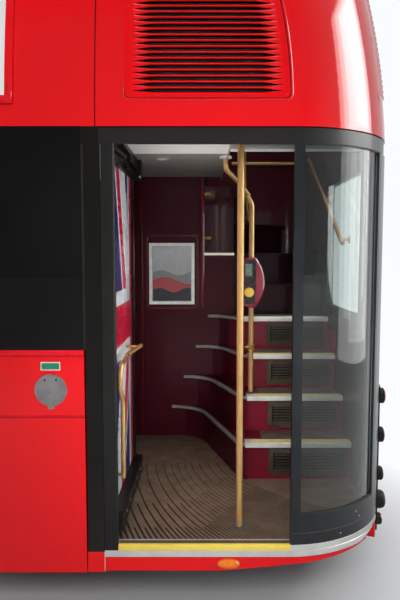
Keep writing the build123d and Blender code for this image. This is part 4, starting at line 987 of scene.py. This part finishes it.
trims, thin, strips = [], [], []
for i, turn in enumerate(STRAIGHT_FROM):
    path = nosing_path(i)
    y = path[-1, 1]
    strip_from = turn + 0.04 if i < 3 else turn
    trims.append(trim_along([(turn, y), (1.9, y), (STEP_END, y)], step_top(i + 1), TRIM))
    thin.append(trim_along(path[path[:, 0] < turn], step_top(i + 1), THIN_TRIM))
    strips.append(trim_along([(strip_from, y), (1.9, y), (STEP_END, y)], step_top(i + 1), STRIP))
piece("step_nosings", trims, NOSING_GREY)
# The curved nosings take the darker aluminium as painted shade
piece("step_curved_nosings", thin, NOSING_PAINTED_SHADE)
piece("step_yellow_strips", strips[:3], NOSING_YELLOW)
piece("step_pale_strips", strips[3:], NOSING_WHITE)
dark = [trim_along(w, step_top(5 + i), THIN_TRIM) for i, w in enumerate(WINDERS)]
piece("winder_nosings", dark, MAROON_DEEP)
fifth_riser = block(1.482, 2.256, 0.5352, 0.5375, step_top(4) + 0.001, step_top(5) - 0.019)
piece("fifth_riser_vinyl", [fifth_riser], MAROON_DEEP)
deck_edge = trim_along([(1.335, 0.519), (1.335, 1.196)], 2.241, TRIM)
piece("deck_edge_nosing", [deck_edge], NOSING_GREY)

inserts = []
for k in range(4):
    y = FIRST_NOSING + GOING * k + 0.024
    insert = (1.735 + 0.02 * k, 2.235, step_top(k) + 0.022, step_top(k + 1) - 0.038)
    line = loop_path(rectangle(*insert), 0.030, 8)
    inner = loop_path(rectangle(*grown(insert, -0.003)), 0.028, 8)
    inserts.append(at_depths([line, line, inner], [y - 0.0004, y - 0.002, y - 0.0036], "y"))
piece("riser_grilles", inserts, riser_grille_finish())

# Brown vinyl on the treads, behind the nosings
treads = []
for i in range(4):
    y, z = FIRST_NOSING + GOING * i, step_top(i + 1)
    treads.append(block(1.70, 2.250, y + 0.082, y + GOING + 0.020, z + 0.0002, z + 0.0022))
piece("tread_vinyl", treads, TREAD_VINYL)


# Poster wall: moulded border, seams, capping, screen clamps and the print in its frame

def wall_block(x0, x1, z0, z1, out):
    """Box on the poster wall's face that stands out by so much."""
    return block(x0, x1, WALL_Y - out, WALL_Y + 0.001, z0, z1)


BORDER, POSTER = (0.884, 1.286, 1.092, 1.665), (0.9345, 1.2305, 1.1565, 1.5765)
border = frame_ring(BORDER, grown(BORDER, -0.013), "y", WALL_Y + 0.001, WALL_Y - 0.005, 0.022, 0.014)
piece("poster_border", [border], MAROON_GLOSS, closed=True, bevel=0.002)
seams = [wall_block(0.90, 1.18, z, z + 0.003, 0.0008) for z in (0.825, 0.588, 0.372)]
seams += [wall_block(0.862, 0.866, 0.095, 2.10, 0.0008)]
piece("poster_wall_joints", seams, SHADOW)
piece("poster_wall_trim", [wall_block(0.850, 0.858, 0.10, 2.10, 0.006)], MAROON_GLOSS, bevel=0.0015)
x0, x1, z0, z1 = grown(POSTER, 0.001)
piece("poster_sheet", [block(x0, x1, 0.4808, 0.4818, z0, z1)], poster_print())
frame_edge = frame_ring(grown(POSTER, 0.005), POSTER, "y", 0.4745, 0.4825, 0.003, 0.002)
piece("poster_frame_edge", [frame_edge], STEEL, closed=True)
piece("screen_wall_capping", [block(1.320, 1.563, 0.479, 0.4965, 1.509, 1.5275)], NOSING_WHITE, bevel=0.002)
wall_end = block(1.470, 1.562, 0.4872, 0.4960, step_top(4), 1.512)
piece("screen_wall_end", [wall_end], MAROON)
glass_end = block(1.475, 1.560, 0.4975, 0.5045, 1.527, 2.034)
piece("screen_glass_end", [glass_end], SCREEN_GLASS)

CLAMP_X, BEAD_X, BEAD_Y = 1.372, 1.318, 0.491
clamp = [(-0.013, 0.010), (-0.011, 0.0125), (0.011, 0.0125), (0.013, 0.010)]
clamps = []
for z in (1.977, 1.642):
    clamps += [turned(clamp, (CLAMP_X, 0.4935, z), INWARD, n=20),
               block(1.333, CLAMP_X, 0.488, 0.4965, z - 0.009, z + 0.009)]
piece("screen_clamps", clamps, BRASS, bevel=0.001)
cover = [(0.0, 0.0183), (0.0015, 0.0188), (0.9685, 0.0188), (0.970, 0.0183)]
bead_cover = turned(cover, (BEAD_X, BEAD_Y, 1.118), UP, n=28)
piece("wall_bead_cover", [bead_cover], MAROON_GLOSS)
collar = [(-0.011, 0.0185), (-0.009, 0.0205), (0.009, 0.0205), (0.011, 0.0185)]
collars = [turned(collar, (BEAD_X, BEAD_Y, z), UP, n=24) for z in (1.40, 1.64, 2.02)]
piece("wall_bead_collars", collars, MAROON_GLOSS)
lining = [block(1.36, 2.04, 1.2030, 1.2045, z, z + 0.0035) for z in (1.520, 1.752, 1.987)]
piece("stair_lining_joints", lining, SHADOW)

# Curved cove between the floor and the maroon side of the first step
cove = [(-0.0235, 0.001), (-0.012, 0.001), (-0.019, 0.006), (-0.0225, 0.016), (-0.0235, 0.030)]
piece("stair_foot_cove", [trim_along(nosing_path(0)[:-1], PLATFORM, cove)], MAROON)

# Ceiling: lamp, dark slot, moulded recess, panels and lips

def ceiling_block(x0, x1, y0, y1, drop, rise=0.0005):
    """Box that hangs below the ceiling by its drop and stands into or above it by its rise."""
    return block(x0, x1, y0, y1, CEILING - drop, CEILING + rise)


LAMP = (1.069, -0.378, CEILING)
lamp_rim = [(-0.0008, 0.046), (0.004, 0.044), (0.006, 0.038), (0.003, 0.034)]
lamp_glass = [(-0.001, 0.034), (0.003, 0.033), (0.006, 0.024), (0.007, 0.010)]
piece("ceiling_lamp_rim", [turned(lamp_rim, LAMP, DOWN, n=32)], CEILING_PALE)
piece("ceiling_lamp_glass", [turned(lamp_glass, LAMP, DOWN, n=28)], LABEL_WHITE)
piece("ceiling_slot", [ceiling_block(1.081, 1.172, -0.880, -0.850, 0.002)], SHADOW)
RECESS = (0.915, 0.975, -0.60, -0.30)
outer = loop_path(rectangle(*RECESS), 0.029, 9)
inner = loop_path(rectangle(*grown(RECESS, -0.008)), 0.0215, 9)
heights = [CEILING + 0.0005, CEILING - 0.004, CEILING + 0.0005]
moulding = np.swapaxes(at_depths([outer, (outer + inner) / 2, inner], heights, "z"), 0, 1)
piece("ceiling_moulding", [moulding], CEILING_PALE, closed=True)
piece("ceiling_front_lip", [ceiling_block(0.905, 1.745, -1.232, -1.206, 0.008)], LABEL_WHITE, bevel=0.002)
well_lip = ceiling_block(1.470, 2.20, -0.7165, -0.7085, 0.014, 0.128)
piece("stairwell_ceiling_lip", [well_lip], LABEL_WHITE, bevel=0.002)
front_panel = ceiling_block(0.905, 1.4605, -1.205, -0.585, 0.005)
piece("ceiling_front_panel", [front_panel], CEILING_LIGHT, bevel=0.0015)
side_lip = ceiling_block(1.4605, 1.4685, -0.7165, WALL_Y, 0.014, 0.128)
piece("stairwell_side_lip", [side_lip], CEILING_PALE, bevel=0.002)
flange = [(-0.001, 0.037), (0.0095, 0.037), (0.0115, 0.034), (0.0115, 0.019)]
piece("branch_rail_flange", [turned(flange, (1.454, -0.4585, CEILING), DOWN, n=32)], LABEL_WHITE)

# Upright rail in the stair well on two brackets, and the bolt of the door's track
RAIL_Y = 1.146
upright = rounded_path([(1.690, RAIL_Y, 2.640), (1.697, RAIL_Y, 2.070), (1.733, RAIL_Y, 1.800)], [0.6], 9)
piece("stair_upright_rail", [tube(upright, 0.0125, INWARD, 12)], GOLD)
grip_places = (1.692, RAIL_Y, 2.50), (1.728, RAIL_Y, 1.84)
grip_plate = [(-0.058, 0.024), (-0.052, 0.024), (-0.050, 0.020)]
grips = [turned([(-0.060, 0.008), (0.0, 0.008)], place, OUTWARD, n=12) for place in grip_places]
grips += [turned(grip_plate, place, OUTWARD, n=20) for place in grip_places]
piece("stair_upright_brackets", grips, GOLD)
track_bolt = [(-0.002, 0.008), (0.004, 0.008), (0.006, 0.005)]
piece("door_track_bolt", [turned(track_bolt, (0.925, -0.345, 2.000), (0.5, -0.85, 0), n=12)], STEEL)

# Ticket reader: dark face, small screen, yellow touch disc
face = loop_path([(1.592, 1.190), (1.664, 1.186), (1.668, 1.480), (1.596, 1.476)], 0.012, 6)
smaller_face = face * 0.995 + face.mean(0) * 0.005
reader_face = at_depths([face, face, smaller_face], [-0.1965, -0.1990, -0.2000], "y")
piece("reader_face", [reader_face], READER_DARK)
piece("reader_screen", [block(1.598, 1.642, -0.2012, -0.1995, 1.375, 1.455)], READER_GREEN, bevel=0.0005)
disc = [(0.0, 0.032), (0.0020, 0.032), (0.0032, 0.029), (0.0034, 0.012)]
piece("reader_disc", [turned(disc, (1.624, -0.1995, 1.268), OUTWARD, n=36)], DISC_YELLOW)

# Stay between the newel pole and its branch, and the feet of the two poles
stay = tube([(1.604, -0.112, 0.888), (1.628, -0.101, 0.888), (1.646, -0.091, 0.888)], 0.009, UP)
piece("newel_stay", [stay], BRASS)
stay_cap = [(-0.020, 0.020), (-0.018, 0.0225), (0.018, 0.0225), (0.020, 0.020)]
piece("newel_stay_cap", [turned(stay_cap, (1.647, -0.090, 0.888), UP, n=20)], BRASS)
pole_foot = [(0.0, 0.0345), (0.0082, 0.0345), (0.0092, 0.030), (0.0110, 0.0225), (0.0120, 0.0182)]
foot_places = (1.505, -1.075, PLATFORM), (1.647, -0.090, step_top(2))
piece("pole_feet", [turned(pole_foot, place, UP, n=28) for place in foot_places], GREY)


# Door leaf

def on_leaf(along, inward, z):
    """Point in the leaf's own axes: along it from its outer corner, inward through it, and up."""
    a = math.radians(89.0)
    along, inward, z = (np.asarray(v, float) for v in (along, inward, z))
    x = 0.842 + along * math.cos(a) + inward * math.sin(a)
    y = -1.210 + along * math.sin(a) - inward * math.cos(a)
    return np.stack(np.broadcast_arrays(x, y, z), -1)


def leaf_block(a0, a1, n0, n1, z0, z1):
    """Box in the leaf's own axes."""
    ring = np.array(rectangle(n0, n1, z0, z1), float)
    return on_leaf(np.array([a0, a1])[:, None], ring[None, :, 0], ring[None, :, 1])


film = leaf_block(0.0595, 0.7735, 0.0200, 0.0212, 0.2415, 1.9745)
piece("leaf_flag_film", [film], flag_vinyl(), body="door_leaf")
bolt = [(-0.002, 0.007), (0.003, 0.007), (0.0048, 0.0045)]
bolts = [turned(bolt, on_leaf(a, 0.075, 0.19), REARWARD, n=12) for a in (0.12, 0.26, 0.42, 0.56, 0.70)]
piece("leaf_kick_bolts", bolts, STEEL, body="door_leaf")
kick_beads = [leaf_block(0.004, 0.829, 0.0745, 0.0765, z, z + 0.0045) for z in (0.1500, 0.2255)]
piece("leaf_kick_beads", kick_beads, RUBBER, body="door_leaf")
turn = np.linspace(0, 2 * math.pi, 12, endpoint=False)[None, :]
ends = np.array([0.145, 2.015])[:, None]
edge_rubber = on_leaf(0.831 + 0.0045 * np.cos(turn), 0.0175 + 0.0165 * np.sin(turn), ends)
piece("leaf_inner_edge_rubber", [edge_rubber], RUBBER, body="door_leaf")


# Tail: lamps, window rubbers, engine door and bumper

LAMP_X = TAIL_X + 0.022
LAMP_ROWS = (("amber", 0.720, 0.044, AMBER), ("red", 0.495, 0.044, RED_LENS),
             ("dark", 0.268, 0.040, DARK_LENS), ("reflector", -0.002, 0.034, RED_LENS))
BUFFER = [(-0.001, 0.050), (0.010, 0.049), (0.018, 0.042), (0.020, 0.030), (0.0205, 0.012)]
for side, y in (("near", -0.770), ("off", 0.945)):
    for name, z, r, mat in LAMP_ROWS:
        profile = [(-0.001, r - 0.002), (0.002, r - 0.002), (0.0065, r * 0.86), (0.0095, r * 0.62),
                   (0.0110, r * 0.25)]
        dome = turned(profile, (LAMP_X, y, z), REARWARD, n=32)
        piece("lamp_" + side + "_" + name, [dome], mat)
    piece("lamp_" + side + "_buffer", [turned(BUFFER, (LAMP_X, y, 0.114), REARWARD, n=32)], RUBBER)

TAIL_WINDOW, DOOR_HOLE = (-0.542, 0.442, 1.099, 2.058), (0.0555, 0.8645, 0.1155, 0.9845)
tail_rubber = frame_ring(TAIL_WINDOW, grown(TAIL_WINDOW, -0.042), "x", TAIL_X + 0.004, TAIL_X - 0.054, 0.045,
                         0.040)
piece("tail_window_rubber", [tail_rubber], RUBBER, closed=True, bevel=0.003)
off_rubber = frame_ring((0.0, 0.512, 1.080, 2.138), (0.045, 0.492, 1.115, 2.080), "y", OFF_Y + 0.0025, 1.200,
                        0.03, 0.03)
piece("off_window_rubber", [off_rubber], RUBBER, closed=True, bevel=0.003)
door_gap = frame_ring(DOOR_HOLE, grown(DOOR_HOLE, -0.006), "x", TAIL_X + 0.0008, TAIL_X - 0.004, 0.01, 0.008)
piece("engine_door_gap", [door_gap], SHADOW, closed=True)


def vent(z, y0, y1):
    """One hooded vent of the engine door: its front swells by a half sine, less at its top and its ends."""
    y = np.linspace(y0, y1, 16)[:, None]
    share = np.clip(np.minimum(y - y0, y1 - y) / 0.05, 0, 1)
    t = np.linspace(0, 1, 7)[None, :]
    x = TAIL_X - 0.0002 + 0.012 * share ** 0.6 * np.sin(math.pi * t) * (1 - 0.4 * t)
    front = np.stack(np.broadcast_arrays(x, y, z + 0.030 * t), -1)
    back = np.stack(np.broadcast_arrays(TAIL_X - 0.004, y, z + 0.030 * t[:, [-1, 0]]), -1)
    return np.concatenate([front, back], 1)


def tail_block(low, high, y0, y1, z0, z1):
    """Box on the tail between two distances outside its face."""
    return block(TAIL_X + low, TAIL_X + high, y0, y1, z0, z1)


vent_feet = [0.36 + 0.042 * k for k in range(9)]
vents = [vent(z, 0.16, 0.76) for z in vent_feet]
slots = [tail_block(-0.003, 0.0006, 0.165, 0.755, z + 0.0305, z + 0.0405) for z in vent_feet]
handle = tail_block(0.0, 0.012, 0.40, 0.52, 0.165, 0.195)
handle_slot = tail_block(-0.001, 0.001, 0.38, 0.54, 0.150, 0.210)
plate = tail_block(-0.001, 0.003, 0.20, 0.72, 0.815, 0.926)
piece("engine_door_vents", vents, RED, body="engine_hatch", angle=60)
piece("engine_door_vent_slots", slots, SHADOW, body="engine_hatch")
piece("engine_door_handle", [handle], BLACK, body="engine_hatch", bevel=0.004)
piece("engine_door_handle_slot", [handle_slot], RUBBER, body="engine_hatch")
piece("rear_plate_blank", [plate], PLATE_YELLOW, body="engine_hatch", bevel=0.0008)
piece("bumper_strip", [tail_block(0.044, 0.049, -0.53, 0.80, 0.010, 0.060)], RUBBER, bevel=0.002)

# Joint lines of the tail and the offside, and the washers of the four flange bolts
tail_lines = [tail_block(-0.001, 0.0009, -0.640, 1.000, z, z + 0.0035) for z in (1.0595, 2.1145)]
piece("tail_panel_joints", tail_lines, SHADOW)
y0, y1 = OFF_Y - 0.001, OFF_Y + 0.001
off_lines = [block(0.0, 1.937, y0, y1, 1.0595, 1.0630), block(0.0, 1.937, y0, y1, 2.1145, 2.1175),
             block(0.560, 0.5635, y0, y1, -0.050, 2.114), block(1.3, 1.3035, y0, y1, -0.050, 1.060)]
piece("off_panel_joints", off_lines, SHADOW)
washer = [(0.0, 0.020), (0.0025, 0.020), (0.003, 0.019)]
washers = [turned(washer, (0.012, y, 0.0), REARWARD, n=20) for y in (-0.30, -0.10, 0.10, 0.30)]
piece("flange_bolt_washers", washers, STEEL)


# Camera, floor and lights

def camera():
    """Camera in front of the doorway that looks slightly down, with its focal length given in pixels of a
    picture 600 pixels high."""
    focal_pixels, picture_pixels, down_deg = 583.1, 600.0, 4.607
    data = bpy.data.cameras.new("camera")
    data.sensor_fit = "AUTO"
    data.sensor_width = 36.0
    data.lens = focal_pixels / picture_pixels * data.sensor_width
    data.clip_start = 0.05
    data.clip_end = 80.0
    cam = bpy.data.objects.new("camera", data)
    bpy.context.scene.collection.objects.link(cam)
    cam.location = (1.300, -4.031, 1.5265)
    cam.rotation_euler = (math.radians(90.0 - down_deg), 0.0, 0.0)
    bpy.context.scene.camera = cam


def area_light(name, place, aim, size, watts, mirrored=True, lit=True, beam_deg=180.0):
    """A soft light at place, turned to aim, which the camera doesn't see; gloss mirrors it or not, it lights
    dull surfaces or not, and its light spreads by so many degrees."""
    data = bpy.data.lights.new(name, "AREA")
    data.shape = "RECTANGLE"
    data.size, data.size_y = size
    data.energy = watts
    data.spread = math.radians(beam_deg)
    obj = bpy.data.objects.new(name, data)
    bpy.context.scene.collection.objects.link(obj)
    obj.location = place
    obj.rotation_euler = (Vector(aim) - Vector(place)).to_track_quat("-Z", "Y").to_euler()
    obj.visible_camera = False
    obj.visible_glossy = mirrored
    obj.visible_diffuse = lit


def studio_floor(z):
    """A plain pale floor below the section, which runs out to white far off: a painted glow of daylight that
    starts nearer on the east side and that gloss sees only towards the east.
    """
    mesh = bpy.data.meshes.new("studio_floor")
    s = 40.0
    mesh.from_pydata([(x, y, z) for x, y in rectangle(-s, s, -s, s)], [], [(0, 1, 2, 3)])
    obj = bpy.data.objects.new("studio_floor", mesh)
    bpy.context.scene.collection.objects.link(obj)
    mat, shader, coord = bare_finish("pale_studio_floor")
    tone = use("mottle", coord, Scale=1.2, Colour_A=(0.44, 0.44, 0.45), Colour_B=(0.40, 0.40, 0.41))
    put_all(shader, Base_Color=tone["Colour"], Roughness=spread(tone["Mottle"], 0, 1, 0.75, 0.85))
    ax = axes(coord)
    east, north = ax[0] - 1.2, ax[1] + 0.5
    # Painted daylight: the floor glows white sooner to the east, and gloss mirrors the glow only there
    far = (east * east + north * north).apply("SQRT") + east * 0.35
    tree = mat.node_tree
    path = fields(tree, tree.nodes.new("ShaderNodeLightPath").outputs)
    mirrored = path["Is Glossy Ray"] * spread(east, 1.2, 2.4, 0.0, 1.0)
    seen = larger(larger(path["Is Camera Ray"], path["Is Transmission Ray"]), mirrored)
    glow = tree.nodes.new("ShaderNodeEmission")
    put(glow.inputs["Color"], (0.96, 0.98, 1.0))
    mix = tree.nodes.new("ShaderNodeMixShader")
    put(mix.inputs[0], spread(far, 1.0, 2.7, 0.0, 1.0) * seen)
    tree.links.new(tree.nodes["Principled BSDF"].outputs[0], mix.inputs[1])
    tree.links.new(glow.outputs[0], mix.inputs[2])
    tree.links.new(mix.outputs[0], tree.nodes["Material Output"].inputs["Surface"])
    mesh.materials.append(mat)


def studio_world():
    """Plain white for the camera, also through glass. Gloss and the object's own light get a soft daylight
    that is white behind the object and dim in front of it."""
    world = bpy.data.worlds.new("studio")
    bpy.context.scene.world = world
    world.use_nodes = True
    tree = world.node_tree
    back = tree.nodes["Background"]
    direction = axes(Field(tree, tree.nodes.new("ShaderNodeTexCoord").outputs["Generated"]))
    behind = spread(direction[1] * 0.8 + direction[0] * 0.6, -0.55, 0.35, 0.10, 1.0)
    path = fields(tree, tree.nodes.new("ShaderNodeLightPath").outputs)
    seen = larger(path["Is Camera Ray"], path["Is Transmission Ray"])
    lit = behind * spread(path["Is Glossy Ray"], 0.0, 1.0, 0.62, 1.0)
    put_all(back.inputs, Strength=larger(seen, lit), Color=(0.95, 0.98, 1.0))


def corner_light(name, x, aside, z, wide, tall, strength):
    """A light behind the tail that only gloss mirrors, level with what it faces on the corner; its strength
    is the brightness that a mirror would show, whatever its size."""
    place, aim = (x, -1.72 + aside, z), (2.1, -1.2 + aside, z)
    area_light(name, place, aim, (wide, tall), strength * math.pi * wide * tall, lit=False)


camera()
studio_floor(-0.240)
studio_world()
area_light("front_sky", (0.6, -7.0, 5.2), (1.2, -0.6, 1.2), (7.0, 4.0), 415, mirrored=False)
area_light("doorway_beam", (1.30, -4.5, 1.15), (1.48, 0.30, 1.05), (0.7, 1.6), 7, mirrored=False,
           beam_deg=42.0)
area_light("leaf_beam", (4.5, -3.2, 1.5), (0.86, -0.8, 1.1), (0.4, 1.4), 2.0, mirrored=False, beam_deg=20.0)
area_light("ceiling_beam", (1.30, -2.2, -0.10), (1.30, -0.7, 2.10), (0.5, 0.2), 1.2, mirrored=False,
           beam_deg=24.0)
# Nested panes whose overlap makes the mirrored light fade out at its sides and below
for i, (wide, tall, aside) in enumerate(((5.4, 4.4, -0.05), (4.2, 4.0, 0.0), (3.0, 3.5, 0.1))):
    corner_light("corner_sheen_%d" % i, 8.08 + 0.02 * i, aside, 5.6, wide, tall, 5.0)
GLASS_PANES = (5.2, 0.3), (3.2, 0.9), (1.2, -1.0), (0.5, 1.7), (0.35, -0.1), (0.25, 0.9), (0.30, 2.4)
for i, (wide, aside) in enumerate(GLASS_PANES):
    tall = 3.5 - 0.32 * i
    strength = 2.2 if i == 0 else 1.5
    corner_light("glass_sheen_%d" % i, 8.0 + 0.02 * i, aside, 3.37 - tall / 2, wide, tall, strength)
area_light("slat_sheen", (1.3, -3.5, 7.5), (1.3, -1.2, 2.4), (4.0, 1.0), 25, lit=False)
for name, x, wide in (("a", 1.62, 0.02), ("b", 1.74, 0.03)):
    area_light("glass_streak_" + name, (x, -6.0, 2.05), (x, 0.0, 2.05), (wide, 1.3), 0.16, lit=False)
bpy.context.scene.view_settings.view_transform = "Standard"
